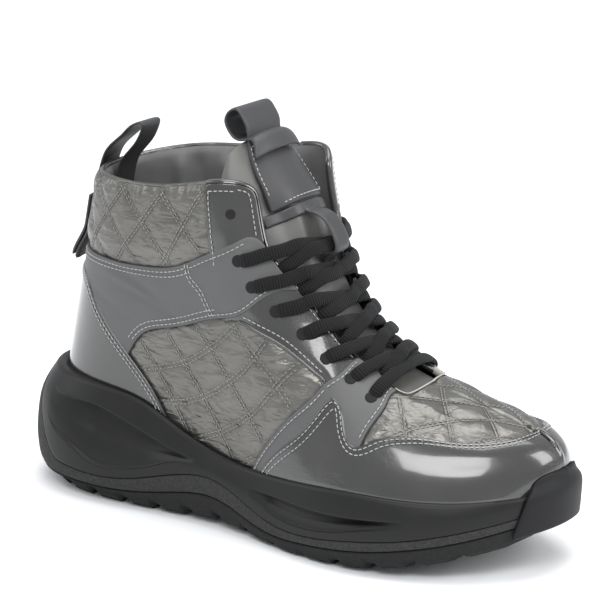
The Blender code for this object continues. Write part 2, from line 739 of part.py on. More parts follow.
TREAD_RUBBER = material("outsole_rubber", (0.060, 0.060, 0.064), 0.85)
LUG_DEPTH = 0.0025


def tread_z(x):
    return levels(np.atleast_1d(x))[:, 5]


def make_outsole():
    rings = [
        ring(FLARES[:, 5] - 0.0110, TREAD + LUG_DEPTH),
        ring(FLARES[:, 5] - 0.0035, (TREAD + LUG_DEPTH) * 0.35 + LOW_EDGE * 0.65 - 0.0003),
        ring(FLARES[:, 5], LOW_EDGE + 0.0008),
        ring(FLARES[:, 4] - 0.0004, LINE_B - 0.0012),
        ring(FLARES[:, 4] - 0.0012, LINE_B - GAP / 2),
    ]
    return ring_solid("outsole", rings, TREAD_RUBBER)


make_midsole()
make_wedge()
outsole = make_outsole()


# lugs: two bars across each tread row, slanted to a shallow chevron
def make_lugs(base):
    lugs = bmesh.new()
    rows = 14
    first = -0.118
    last_x = 0.124
    pitch = (last_x - first) / (rows - 1)
    for r in range(rows):
        x = first + r * pitch
        s = np.linspace(0, 0.5, 101)
        p = plan(s)[0]
        wide_l = np.interp(x, p[:, 0], -p[:, 1])
        p = plan(1 - s)[0]
        wide_m = np.interp(x, p[:, 0], p[:, 1])
        for side, wide in ((-1, wide_l), (1, wide_m)):
            inner = 0.0025
            outer = wide - 0.0050
            if outer - inner < 0.012:
                continue
            slant = 0.0040
            corners = []
            for y, shift in ((inner, slant / 2), (outer, -slant / 2)):
                for dx in (-pitch * 0.32, pitch * 0.32):
                    corners.append((x + shift + dx, side * y))
            low = []
            high = []
            for cx, cy in corners:
                z = float(tread_z(cx)[0])
                low.append(lugs.verts.new((cx, cy, z)))
                grow = 1 + 0.0006 / 0.010
                high.append(lugs.verts.new((x + (cx - x) * grow, cy, z + LUG_DEPTH + 0.0012)))
            order = (0, 1, 3, 2)
            lugs.faces.new([low[i] for i in order])
            lugs.faces.new([high[i] for i in order][::-1])
            for a, b in zip(order, order[1:] + order[:1]):
                lugs.faces.new([low[a], high[a], high[b], low[b]])
    bmesh.ops.recalc_face_normals(lugs, faces=lugs.faces)
    mesh = bpy.data.meshes.new("lug_cutter")
    lugs.to_mesh(mesh)
    lugs.free()
    tool = bpy.data.objects.new("lug_cutter", mesh)
    bpy.context.scene.collection.objects.link(tool)
    join(base, tool)


def join(base, tool):
    mod = base.modifiers.new("joined", "BOOLEAN")
    mod.operation = "UNION"
    mod.solver = "EXACT"
    mod.object = tool
    deps = bpy.context.evaluated_depsgraph_get()
    mesh = bpy.data.meshes.new_from_object(base.evaluated_get(deps))
    base.modifiers.clear()
    base.data = mesh
    bpy.data.objects.remove(tool, do_unlink=True)


make_lugs(outsole)

# rubber bumper wrapped over the toe: a closed section swept around the tip
BUMPER = material("bumper_rubber", (0.045, 0.045, 0.050), 0.60)
BUMPER_HALF = 0.062


def make_bumper():
    s = np.linspace(0.5 - BUMPER_HALF, 0.5 + BUMPER_HALF, 17)
    t = (s - 0.5) / BUMPER_HALF
    body = np.sqrt(np.clip(1 - t ** 2, 0, 1))
    foot, out = plan(s)
    lev = levels(foot[:, 0])
    flare = open_curve(FLARE[:, 0], FLARE[:, 1:], fold(s)) * BALL_WIDTH
    low = lev[:, 4] + 0.0010
    inside = flare[:, :5].max(axis=1) + 0.0006
    thick = 0.0012 + 0.0026 * body
    climb = 0.03 + 0.17 * body
    front = []
    back = []
    for share in (0.0, 0.33, 0.67, 1.0):
        z = low + (lev[:, 0] - low) * share
        inner = np.column_stack([foot + out * inside[:, None], z])
        back.append(inner)
    for share in (0.5, 1.0):
        v = climb * share
        back.append(last(s, v) + facing(s, v) * (PANEL + 2 * GAP))
    for row, inner in enumerate(back):
        share = row / (len(back) - 1)
        bulge = thick * (0.70 + 0.30 * math.sin(math.pi * share)) * (1 - 0.4 * ease((share - 0.6) / 0.4))
        away = np.column_stack([out, np.full(len(s), 0.9 * max(share - 0.6, 0))])
        front.append(inner + away * bulge[:, None])
    return shell_solid("toe_bumper", np.array(front), np.array(back), BUMPER)


make_bumper()

# insole
INSOLE_FOAM = material("insole_fabric", (0.16, 0.16, 0.165), 0.90)


def make_insole():
    inset = -(TUCK_INSET + WALL + 0.0010)
    bed = LEV[:, 1]
    rings = [
        ring(inset, bed),
        ring(inset, bed + INSOLE - 0.0006),
        ring(inset - 0.0030, bed + INSOLE),
    ]
    return ring_solid("insole", rings, INSOLE_FOAM)


make_insole()

# tongue: arched rows along its centre line
TONGUE_CLOTH = material("tongue_leather", (0.17, 0.17, 0.175), 0.50)
TONGUE_ARCH = math.radians(72)


def tongue_face(along, across, lift=0.0):
    along = np.asarray(along, float)
    across = np.asarray(across, float)
    rows = TONGUE_ROWS
    d = np.linalg.norm(np.diff(rows[:, :2], axis=0), axis=1)
    k = np.append(0.0, np.cumsum(d))
    k /= k[-1]
    r = open_curve(k, rows, along.ravel())
    e = 1e-3
    run = open_curve(k, rows, along.ravel() + e) - open_curve(k, rows, along.ravel() - e)
    tangent = run[:, :2] / np.linalg.norm(run[:, :2], axis=1)[:, None]
    normal = np.stack([tangent[:, 1], -tangent[:, 0]], 1)
    a = TONGUE_ARCH * across.ravel()
    y = r[:, 2] * np.sin(a) / math.sin(TONGUE_ARCH)
    drop = r[:, 3] * (1 - np.cos(a)) / (1 - math.cos(TONGUE_ARCH))
    x = r[:, 0] - normal[:, 0] * drop
    z = r[:, 1] - normal[:, 1] * drop
    shift = 0.035 * r[:, 0].clip(0, 1)
    p = np.column_stack([x, y + shift, z]).reshape(*along.shape, 3)
    return p


# the whole form as a search tree: nearest point on it and its outward direction
def form_tree():
    fs, fv = np.meshgrid(np.linspace(0, 1, 121)[:-1], np.linspace(-TUCK, 1, 25), indexing="ij")
    p = last(fs, fv)
    m, n = fs.shape
    faces = []
    for i in range(m):
        for j in range(n - 1):
            a = i * n + j
            b = ((i + 1) % m) * n + j
            faces.append((a, b, b + 1, a + 1))
    return BVHTree.FromPolygons([Vector(q) for q in p.reshape(-1, 3)], faces)


FORM = form_tree()


def above_form(p):
    loc, n, i, d = FORM.find_nearest(Vector(p))
    out = np.array(n)
    return float((np.array(p) - np.array(loc)) @ out), out, np.array(loc)


# tongue face kept below the upper at its sides and level with the form in the throat
def tongue_at(along, across, lift):
    p = tongue_face(along, across)
    flat = p.reshape(-1, 3)
    u = np.abs(np.asarray(across, float)).ravel()
    w = np.asarray(along, float).ravel()
    for i in range(len(flat)):
        d, out, loc = above_form(flat[i])
        middle = (1 - ease((u[i] - 0.18) / 0.22)) * ease((w[i] - 0.16) / 0.12)
        most = -(WALL + 0.0018) * (1 - middle) - 0.0004 * middle
        flat[i] -= out * max(d - most, 0.0)
    p = flat.reshape(p.shape)
    n = -grid_normals(p)
    return p + n * np.asarray(lift)[..., None]


# one row across the tongue's face and its outward directions
def tongue_row(a, across):
    up, side = np.meshgrid(np.clip(np.array([a - 0.01, a, a + 0.01]), 0, 1), across, indexing="ij")
    p = tongue_at(up, side, np.zeros_like(up))
    return p[1], -grid_normals(p)[1]


def make_tongue():
    gi, gj = np.meshgrid(np.linspace(0, 1, 17), np.linspace(-1, 1, 9), indexing="ij")
    edge = np.clip((1 - np.abs(gj)) / 0.25, 0, 1)
    ends = np.clip(np.minimum(gi, 1 - gi) / 0.06, 0, 1)
    body = 0.0018 + (TONGUE - 0.0018) * np.sqrt(edge * ends)
    front = tongue_at(gi, gj, np.zeros_like(gi))
    back = tongue_at(gi, gj, -body)
    return shell_solid("tongue", front, back, TONGUE_CLOTH)


make_tongue()

# laces: one run of straps over the throat, each from a hole across to the next edge down
LACE = material("lace_cord", (0.020, 0.020, 0.022), 0.85)
LACE_LIFT = 0.75 * PANEL + GAP + LACE_THICK / 2 + 0.0017


def spot(s, v):
    p = last(np.array([s]), np.array([v]))[0]
    return p, facing(np.array([s]), np.array([v]))[0]


def strap_path(a, b, count):
    path = []
    ups = []
    for t in np.linspace(0, 1, count):
        d, out, loc = above_form(a * (1 - t) + b * t)
        path.append(loc + out * LACE_LIFT)
        ups.append(out)
    return np.array(path), np.array(ups)


def make_strap(name, path, ups):
    run = np.gradient(path, axis=0)
    run /= np.linalg.norm(run, axis=1)[:, None]
    wide = np.cross(run, ups)
    wide /= np.linalg.norm(wide, axis=1)[:, None]
    high = np.cross(wide, run)
    turn = np.radians([0, 48, 132, 180, 228, 312])
    points = []
    for i in range(len(path)):
        for a in turn:
            side = wide[i] * math.cos(a) * LACE_WIDTH / 2
            points.append(path[i] + side + high[i] * math.sin(a) * LACE_THICK / 1.5)
    faces = []
    for i in range(len(path) - 1):
        for j in range(6):
            k = (j + 1) % 6
            faces.append((i * 6 + j, i * 6 + k, i * 6 + 6 + k, i * 6 + 6 + j))
    faces.append(tuple(range(6)))
    faces.append(tuple(range((len(path) - 1) * 6, len(path) * 6)))
    return solid(name, np.array(points), faces, LACE)


def make_laces():
    straps = []
    rows = len(EYELETS)
    for k in range(rows):
        hole_s, hole_v, edge_s, edge_v = EYELETS[k]
        if k == rows - 1:
            a = spot(hole_s, hole_v)[0]
            b = spot(1 - hole_s, hole_v)[0]
            straps.append(make_strap("lace_strap", *strap_path(a, b, 7)))
            continue
        low_s, low_v = EYELETS[k + 1, 2:]
        for side in (False, True):
            a = spot(1 - hole_s if side else hole_s, hole_v)[0]
            b = spot(low_s if side else 1 - low_s, low_v - 0.01)[0]
            straps.append(make_strap("lace_strap", *strap_path(a, b, 6)))
    laces = straps[-1]
    laces.name = "laces"
    for strap in straps[-2::-1]:
        join(laces, strap)
    return laces


make_laces()


# strips of webbing and leather: path points with their sideways half width
STRAP_LEATHER = material("strap_leather", (0.16, 0.16, 0.165), 0.50)


# pull loop: patch up the front of the tongue, folded over above it and sewn behind;
# height over the tongue's edge in metres and how far forward, in steps of 2.5 mm
PULL_FOLD = (
    (0.0060, 0.6),
    (0.0120, 0.9),
    (0.0165, 0.6),
    (0.0180, -0.9),
    (0.0165, -2.7),
    (0.0120, -3.3),
    (0.0060, -2.8),
)


def make_tongue_loop():
    across = np.linspace(-0.50, 0.50, 5)
    low = 0.775
    front = []
    for a in np.linspace(low, 0.985, 7):
        p, n = tongue_row(a, across)
        front.append(p + n * (GAP + WEBBING / 2 + 0.0003))
    top = front[-1]
    n = tongue_row(0.985, across)[1]
    tangent = front[-1] - front[-2]
    tangent /= np.linalg.norm(tangent, axis=1)[:, None]
    flat = tangent.mean(axis=0)
    flat /= np.linalg.norm(flat)
    out = n.mean(axis=0)
    out[1] = 0
    out /= np.linalg.norm(out)
    half = (top[-1, 1] - top[0, 1]) / 2
    centre = top.mean(axis=0)
    rows = list(front)
    for h, off in PULL_FOLD:
        line = []
        blend = ease(h / 0.008)
        for i, c in enumerate(np.linspace(-1, 1, 5)):
            straight = centre + np.array([0, c * half, 0])
            base = top[i] * (1 - blend) + straight * blend
            line.append(base + flat * h + out * (off + 0.4) * 0.0025)
        rows.append(np.array(line))
    behind = []
    for a in (0.985, 0.93):
        p, n = tongue_row(a, across)
        behind.append(p - n * (TONGUE + GAP + WEBBING / 2 + 0.0004))
    rows += behind
    return sheet_solid("tongue_pull_loop", np.array(rows), WEBBING, STRAP_LEATHER)


make_tongue_loop()


# keeper: narrow strip down the tongue's centre that stands off to let the top laces pass;
# place along the tongue and distance off it in metres
KEEPER = np.array([
    [0.762, 0.0000],
    [0.748, 0.0000],
    [0.730, 0.0036],
    [0.705, 0.0080],
    [0.670, 0.0100],
    [0.640, 0.0105],
    [0.618, 0.0100],
    [0.604, 0.0070],
    [0.598, 0.0010],
    [0.586, 0.0000],
])
KEEPER_HALF = 0.13


def make_keeper():
    rows = []
    across = np.array([-KEEPER_HALF, KEEPER_HALF])
    for along, off in KEEPER:
        p, n = tongue_row(along, across)
        rows.append(p + n * (GAP + 0.0010 + off))
    return sheet_solid("lace_keeper", np.array(rows), 0.0012, STRAP_LEATHER)


make_keeper()


# heel pull: strip sewn on the back, over the collar edge, standing up forward as a folded loop
HEEL_HALF = 0.0080
# the fold above the collar edge: metres forward of that edge and up from it
HEEL_FOLD = (
    (-0.0030, 0.0005),
    (-0.0004, 0.0060),
    (0.0090, 0.0150),
    (0.0170, 0.0215),
    (0.0208, 0.0220),
    (0.0202, 0.0180),
    (0.0145, 0.0090),
    (0.0088, 0.0020),
)


def make_heel_pull():
    rows = []
    pad = 0.35 * COLLAR_PAD
    inner = WALL + 0.65 * COLLAR_PAD
    y = np.linspace(-HEEL_HALF, HEEL_HALF, 3)
    top = last(np.array([0.0]), np.array([1.0]))[0]
    for v in (0.845, 0.885, 0.93):
        p = last(np.array([0.0]), np.array([v]))[0]
        rows.append((p[0] - pad - 0.0022, p[2]))
    for forward, up in HEEL_FOLD:
        rows.append((top[0] + forward, top[2] + up))
    for v in (0.95, 0.88):
        p = last(np.array([0.0]), np.array([v]))[0]
        rows.append((p[0] + inner + 0.0022, p[2]))
    grid = np.array([[(x, w, z) for w in y] for x, z in rows])
    return sheet_solid("heel_pull_loop", grid, 0.0012, STRAP_LEATHER)


make_heel_pull()

# heel tab: leather strap down the back over a ribbed pad, standing off at its lower end
TAB_HALF = 0.0105
PAD_BLACK = material("tab_pad", (0.012, 0.012, 0.012), 0.95)


def make_heel_tab(name, near, thick, low_v, high_v, mat):
    rows = []
    y = np.linspace(-TAB_HALF, TAB_HALF, 5)
    for t in np.linspace(0, 1, 8):
        v = high_v + (low_v - high_v) * t
        row = []
        for w in y:
            s = abs(w) / 0.27 * 0.5
            s = s if w < 0 else 1 - s
            p = last(np.array([s]), np.array([v]))[0]
            n = facing(np.array([s]), np.array([v]))[0]
            off = near + 0.0050 * ease((t - 0.45) / 0.55)
            q = p + n * off
            row.append((q[0], w, q[2]))
        rows.append(row)
    return sheet_solid(name, np.array(rows), thick, mat)


make_heel_tab("heel_tab_pad", 0.35 * COLLAR_PAD + 0.0019, 0.0026, 0.475, 0.800, PAD_BLACK)
make_heel_tab("heel_tab", 0.35 * COLLAR_PAD + 0.0046, 0.0018, 0.485, 0.815, STRAP_LEATHER)
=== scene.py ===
# %% [markdown]
# # A quilted high-top sneaker boot
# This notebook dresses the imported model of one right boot. The upper of the real boot is cut from
# three skins: a quilted nylon with a metal sheen, a matt grey leather and a dark patent leather. They
# are sewn over each other along edges that all run on one curved form, so that form comes first here
# and every later piece is laid on it by two numbers.

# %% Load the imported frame
import math

import bmesh
import bpy
import numpy as np
from mathutils import Matrix, Vector
from mathutils.bvhtree import BVHTree
from mathutils.geometry import delaunay_2d_cdt


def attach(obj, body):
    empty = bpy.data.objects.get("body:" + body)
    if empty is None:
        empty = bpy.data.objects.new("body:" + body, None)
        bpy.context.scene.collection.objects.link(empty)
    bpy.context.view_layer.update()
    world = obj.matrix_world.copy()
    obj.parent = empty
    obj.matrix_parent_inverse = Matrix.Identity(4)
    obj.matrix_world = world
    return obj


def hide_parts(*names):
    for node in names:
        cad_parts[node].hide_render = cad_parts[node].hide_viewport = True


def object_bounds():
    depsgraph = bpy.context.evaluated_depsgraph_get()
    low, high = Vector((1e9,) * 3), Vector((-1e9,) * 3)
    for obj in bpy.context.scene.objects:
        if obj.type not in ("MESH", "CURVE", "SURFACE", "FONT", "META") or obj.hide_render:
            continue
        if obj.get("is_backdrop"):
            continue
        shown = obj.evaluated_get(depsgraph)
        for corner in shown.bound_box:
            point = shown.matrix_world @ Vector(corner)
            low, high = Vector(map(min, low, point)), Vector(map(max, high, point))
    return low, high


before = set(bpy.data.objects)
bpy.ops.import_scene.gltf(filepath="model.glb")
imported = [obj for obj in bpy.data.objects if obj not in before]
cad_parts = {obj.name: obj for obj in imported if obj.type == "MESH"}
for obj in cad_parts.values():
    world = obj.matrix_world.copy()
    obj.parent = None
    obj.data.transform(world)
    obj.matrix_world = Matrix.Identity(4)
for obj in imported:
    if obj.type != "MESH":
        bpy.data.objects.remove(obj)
CAD_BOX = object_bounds()
print("nodes:", sorted(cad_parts))

# %% [markdown]
# ## Sizes
# A shoemaker starts from the last: its length, its ball width and the height of the collar. Every
# table below holds shares of those sizes, so that the boot could be graded to another size.

# %% Driving sizes in metres
SHOE_LENGTH = 0.290
FEATHER_LENGTH = 0.267
FEATHER_BACK = -0.127
BALL_WIDTH = 0.100
COLLAR_HEIGHT = 0.160
SOLE_HEIGHT = 0.060
WALL = 0.0024
COLLAR_PAD = 0.0042
GAP = 0.0003
PANEL = 0.0012
INSOLE = 0.0042
TONGUE = 0.0042
LACE_WIDTH = 0.0066
LACE_THICK = 0.0029
WEBBING = 0.0016
TUCK = 0.22
TUCK_INSET = 0.0015
RIDGE_FROM = 0.285
MM = 0.001

# %% [markdown]
# ## Tables of the last and the sole
# The feather line is where upper and sole meet. OUTLINE draws it from above, LEVELS gives the heights
# of the sole's lines from heel to toe, FLARE how far the sole stands outside the feather line, and
# RIBS the curve of the upper's wall at a few places around the foot.

# %% Feather line and sole lines
OUTLINE = np.array([
    [0.000, 0.000], [0.030, -0.210], [0.110, -0.325], [0.240, -0.350], [0.400, -0.380],
    [0.540, -0.450], [0.670, -0.510], [0.790, -0.485], [0.890, -0.375], [0.965, -0.190],
    [1.000, 0.060], [0.975, 0.260], [0.900, 0.400], [0.800, 0.465], [0.690, 0.475],
    [0.560, 0.410], [0.430, 0.335], [0.280, 0.305], [0.130, 0.305], [0.035, 0.210],
])
TOE_ROW = 10
# share of the length, then feather line, foot bed, line a, line b, lower edge, tread
LEVELS = np.array([
    [0.00, 1.000, 0.620, 0.400, 0.200, 0.140, 0.060],
    [0.06, 1.000, 0.620, 0.345, 0.170, 0.120, 0.020],
    [0.14, 0.985, 0.610, 0.270, 0.147, 0.110, 0.000],
    [0.20, 0.967, 0.600, 0.240, 0.142, 0.105, 0.000],
    [0.28, 0.900, 0.580, 0.283, 0.165, 0.092, 0.000],
    [0.36, 0.733, 0.550, 0.385, 0.235, 0.120, 0.020],
    [0.44, 0.617, 0.520, 0.425, 0.272, 0.137, 0.045],
    [0.50, 0.580, 0.470, 0.340, 0.205, 0.095, 0.020],
    [0.55, 0.577, 0.420, 0.250, 0.140, 0.050, 0.000],
    [0.64, 0.608, 0.390, 0.212, 0.140, 0.043, 0.000],
    [0.72, 0.630, 0.430, 0.262, 0.180, 0.092, 0.012],
    [0.80, 0.628, 0.470, 0.325, 0.245, 0.150, 0.075],
    [0.88, 0.635, 0.520, 0.415, 0.335, 0.235, 0.165],
    [0.94, 0.655, 0.570, 0.490, 0.415, 0.315, 0.255],
    [1.00, 0.683, 0.620, 0.560, 0.490, 0.390, 0.340],
])
# perimeter share, then lip, upper third, lower third, line a, line b, lower edge
FLARE = np.array([
    [0.000, 0.070, 0.150, 0.172, 0.172, 0.145, 0.090],
    [0.040, 0.066, 0.140, 0.165, 0.165, 0.140, 0.090],
    [0.090, 0.050, 0.105, 0.125, 0.125, 0.110, 0.080],
    [0.140, 0.038, 0.075, 0.095, 0.098, 0.088, 0.066],
    [0.200, 0.032, 0.056, 0.072, 0.076, 0.070, 0.052],
    [0.260, 0.032, 0.052, 0.068, 0.072, 0.066, 0.046],
    [0.340, 0.034, 0.056, 0.070, 0.074, 0.068, 0.050],
    [0.420, 0.030, 0.048, 0.056, 0.058, 0.054, 0.042],
    [0.460, 0.026, 0.034, 0.036, 0.036, 0.032, 0.022],
    [0.500, 0.024, 0.026, 0.026, 0.024, 0.020, 0.010],
])
# leaf recesses: share of the length, upper line, lower rim, depth share
LEAF = np.array([
    [0.00, 0.74, 0.34, 0.0], [0.11, 0.76, 0.36, 0.0], [0.15, 0.79, 0.30, 0.5], [0.19, 0.80, 0.15, 1.0],
    [0.25, 0.72, 0.11, 1.0], [0.31, 0.62, 0.16, 0.8], [0.36, 0.54, 0.30, 0.4], [0.40, 0.50, 0.36, 0.0],
    [0.52, 0.54, 0.34, 0.0], [0.57, 0.60, 0.22, 0.6], [0.62, 0.58, 0.16, 1.0], [0.69, 0.52, 0.16, 0.9],
    [0.76, 0.50, 0.28, 0.4], [0.81, 0.52, 0.36, 0.0], [1.00, 0.56, 0.36, 0.0],
])
LEAF_DEPTH = 0.0072

# %% Ribs of the upper
# s, rib top along, half width, ridge side, height, lean, handle share, angle at the top, handle share
RIBS = np.array([
    [0.000, 0.071, 0.000, 0.000, 1.000, 10, 0.33, 80, 0.30],
    [0.055, 0.097, 0.220, 0.000, 0.997, 7, 0.33, 82, 0.30],
    [0.105, 0.169, 0.340, 0.000, 1.000, 2, 0.33, 85, 0.30],
    [0.160, 0.270, 0.375, 0.000, 1.009, 1, 0.33, 86, 0.30],
    [0.205, 0.356, 0.370, 0.000, 1.038, 3, 0.33, 82, 0.30],
    [0.240, 0.425, 0.315, 0.000, 1.047, 5, 0.34, 70, 0.28],
    [0.285, 0.506, 0.000, 0.000, 0.913, 10, 0.40, 4, 0.11],
    [0.325, 0.569, 0.000, 0.000, 0.694, 14, 0.42, 3, 0.14],
    [0.365, 0.655, 0.000, 0.010, 0.563, 16, 0.44, 2, 0.19],
    [0.410, 0.760, 0.000, 0.030, 0.484, 14, 0.47, 0, 0.25],
    [0.455, 0.854, 0.000, 0.050, 0.442, 6, 0.52, 0, 0.32],
    [0.500, 0.918, 0.000, 0.070, 0.409, -8, 0.58, 0, 0.46],
])
# the medial collar stands further out, forward and higher: metres, for the same ribs
MEDIAL = np.zeros((len(RIBS), 3))
MEDIAL[1:6] = [
    [0.000, 0.000, 0.002], [0.000, 0.000, 0.005], [0.000, 0.001, 0.006],
    [0.002, 0.003, 0.005], [0.005, 0.006, 0.004],
]

# %% [markdown]
# ## Seams as lines on the form
# A place on the upper is given by s, once around the foot from the heel (0) over the outer side and the
# toe (0.5) back along the inner side, and v, from the feather line (0) to the collar or the instep
# ridge (1). Each seam of the real boot is a short table of such places, read off the photograph.

# %% Seam lines
THROAT = np.array([
    [0.2380, 1.000], [0.2480, 0.985], [0.2525, 0.940], [0.2560, 0.870], [0.2590, 0.790],
    [0.2625, 0.705], [0.2690, 0.630], [0.2810, 0.560], [0.2970, 0.535], [0.3115, 0.565],
    [0.3260, 0.605], [0.3400, 0.645], [0.3540, 0.668], [0.3640, 0.650], [0.3710, 0.610],
    [0.3790, 0.610], [0.3880, 0.670], [0.3970, 0.800], [0.4040, 0.950], [0.4060, 1.000],
])
COLLAR_SEAM = np.array([
    [0.000, 0.600], [0.050, 0.600], [0.089, 0.602], [0.107, 0.604], [0.144, 0.635], [0.179, 0.680],
    [0.202, 0.720], [0.214, 0.740], [0.230, 0.762], [0.243, 0.780], [0.250, 0.785], [0.256, 0.768],
    [0.2625, 0.705],
])
STRAP_FOOT = np.array([
    [0.2810, 0.560], [0.265, 0.552], [0.256, 0.545], [0.246, 0.530], [0.231, 0.515], [0.209, 0.497],
    [0.181, 0.450], [0.152, 0.385], [0.131, 0.318], [0.120, 0.250], [0.110, 0.150],
])
STRAP_SEAM = np.array([
    [0.1850, 0.688], [0.188, 0.625], [0.197, 0.585], [0.201, 0.550], [0.205, 0.510], [0.207, 0.494],
])
FLAP_REAR = np.array([[0.2115, 1.000], [0.2120, 0.940], [0.2135, 0.880], [0.2140, 0.690]])
COUNTER_TOP = np.array([
    [0.000, 0.512], [0.030, 0.508], [0.058, 0.470], [0.079, 0.360], [0.103, 0.230], [0.127, 0.115],
    [0.148, 0.000], [0.158, -0.100],
])
EYESTAY_FOOT = np.array([
    [0.220, 0.497], [0.236, 0.500], [0.252, 0.450], [0.266, 0.395], [0.280, 0.352], [0.294, 0.336],
    [0.306, 0.340],
])
STAR_TOP = np.array([
    [0.304, 0.335], [0.323, 0.455], [0.336, 0.585], [0.3425, 0.652],
])
STAR_REAR = np.array([
    [0.228, -0.100], [0.236, 0.000], [0.239, 0.030], [0.252, 0.110], [0.271, 0.185], [0.289, 0.250],
    [0.304, 0.335],
])
STAR_FRONT = np.array([
    [0.3745, 0.605], [0.369, 0.545], [0.363, 0.450], [0.352, 0.330], [0.343, 0.240], [0.336, 0.150],
])
MUDGUARD_TOP = np.array([
    [0.238, -0.100], [0.245, 0.000], [0.262, 0.085], [0.281, 0.145], [0.297, 0.225], [0.308, 0.292],
    [0.315, 0.316], [0.320, 0.310], [0.324, 0.270], [0.326, 0.215], [0.331, 0.182], [0.340, 0.196],
    [0.351, 0.240], [0.372, 0.300], [0.392, 0.335], [0.411, 0.350], [0.430, 0.370], [0.450, 0.425],
    [0.468, 0.560], [0.483, 0.705], [0.500, 0.805],
])
HOLES = np.array([
    [0.242, 0.705], [0.251, 0.600], [0.265, 0.495], [0.282, 0.430], [0.305, 0.420], [0.333, 0.470],
    [0.351, 0.450],
])
EDGES = np.array([
    [0.263, 0.700], [0.269, 0.630], [0.281, 0.560], [0.299, 0.535], [0.328, 0.610], [0.352, 0.665],
    [0.365, 0.640],
])
SPARE_HOLE = np.array([0.236, 0.880])
TONGUE_ROWS = np.array([
    [0.0900, 0.0706, 0.018, 0.0052], [0.0800, 0.0742, 0.023, 0.0075], [0.0700, 0.0790, 0.028, 0.0105],
    [0.0560, 0.0855, 0.031, 0.0130], [0.0420, 0.0940, 0.032, 0.0150], [0.0300, 0.1055, 0.033, 0.0170],
    [0.0210, 0.1180, 0.033, 0.0190], [0.0140, 0.1310, 0.033, 0.0210], [0.0080, 0.1450, 0.033, 0.0230],
    [0.0010, 0.1580, 0.033, 0.0240], [-0.0080, 0.1700, 0.031, 0.0230], [-0.0170, 0.1800, 0.026, 0.0150],
    [-0.0220, 0.1850, 0.021, 0.0080],
])


# %% [markdown]
# ## Smooth curves
# A natural cubic spline bends as a draughtsman's flexible batten does, so it draws every line of the
# last. Closed lines, such as the feather line, take the same spline with its ends joined.

# %% Splines
def closed_curve(knots, values, at):
    """Cubic spline through rows of values, with period one."""
    k = np.asarray(knots, float)
    y = np.asarray(values, float)
    n = len(k)
    h = np.diff(np.append(k, k[0] + 1.0))
    system = np.zeros((n, n))
    i = np.arange(n)
    before = (i - 1) % n
    after = (i + 1) % n
    system[i, before] += h[before]
    system[i, i] += 2 * (h[before] + h)
    system[i, after] += h
    right = 6 * ((y[after] - y) / h[:, None] - (y - y[before]) / h[before][:, None])
    m = np.linalg.solve(system, right)
    return spline_value(k, y, m, h, np.mod(np.asarray(at, float) - k[0], 1.0) + k[0], True)


def open_curve(knots, values, at):
    """Natural cubic spline through rows of values, flat in bend at both ends."""
    k = np.asarray(knots, float)
    y = np.asarray(values, float)
    n = len(k)
    h = np.diff(k)
    system = np.eye(n)
    right = np.zeros((n, y.shape[1]))
    i = np.arange(1, n - 1)
    system[i, i - 1] = h[:-1]
    system[i, i] = 2 * (h[:-1] + h[1:])
    system[i, i + 1] = h[1:]
    right[1:-1] = 6 * ((y[2:] - y[1:-1]) / h[1:, None] - (y[1:-1] - y[:-2]) / h[:-1, None])
    m = np.linalg.solve(system, right)
    return spline_value(k, y, m, h, np.clip(np.asarray(at, float), k[0], k[-1]), False)


def spline_value(k, y, m, h, u, closed):
    """Cubic of each span: weighted end values plus weighted end bends m."""
    last_span = len(k) - 1 if closed else len(k) - 2
    i = np.clip(np.searchsorted(k, u, side="right") - 1, 0, last_span)
    j = (i + 1) % len(k)
    t = (u - k[i])[:, None]
    w = h[i][:, None]
    bend = (m[i] * (w - t) ** 3 + m[j] * t ** 3) / (6 * w)
    return bend + (y[i] / w - m[i] * w / 6) * (w - t) + (y[j] / w - m[j] * w / 6) * t


# one unit of s and of v in metres, for distances on the flat pattern
PLANE = np.array([0.60, 0.11])


def smooth_line(rows, step=0.0009):
    """Spline through pattern rows, resampled every step metres on the flat pattern."""
    rows = np.asarray(rows, float)
    d = np.linalg.norm(np.diff(rows * PLANE, axis=0), axis=1)
    k = np.append(0.0, np.cumsum(d))
    return open_curve(k, rows, np.linspace(0, k[-1], max(3, int(k[-1] / step))))


def ease(t):
    """Smooth step from 0 to 1: 3 t squared minus 2 t cubed."""
    t = np.clip(t, 0.0, 1.0)
    return t * t * (3 - 2 * t)


print("collar seam length on the pattern, mm:", round(len(smooth_line(COLLAR_SEAM)) * 0.9))


# %% [markdown]
# ## The last
# The wall of the upper is a family of cubic Bezier ribs that stand on the feather line and lean in to
# the collar edge or, further forward, meet on the instep ridge. Below the feather line the form tucks
# down inside the rubber cup.

# %% The form of the upper
def outline_knots():
    p = OUTLINE * [FEATHER_LENGTH, BALL_WIDTH]
    d = np.linalg.norm(np.roll(p, -1, 0) - p, axis=1)
    lateral = np.append(0.0, np.cumsum(d[:TOE_ROW]))
    medial = np.append(0.0, np.cumsum(d[TOE_ROW:]))
    first = lateral[:-1] / lateral[-1] * 0.5
    return np.concatenate([first, 0.5 + medial[:-1] / medial[-1] * 0.5])


KNOTS = outline_knots()


def plan(s):
    """Feather line point at s, seen from above, and its outward direction."""
    s = np.asarray(s, float)
    size = np.array([FEATHER_LENGTH, BALL_WIDTH])
    q = closed_curve(KNOTS, OUTLINE, s) * size
    e = 1e-4
    d = (closed_curve(KNOTS, OUTLINE, s + e) - closed_curve(KNOTS, OUTLINE, s - e)) * size
    n = np.stack([d[:, 1], -d[:, 0]], 1)
    n /= np.linalg.norm(n, axis=1)[:, None]
    return q + [FEATHER_BACK, 0.0], n


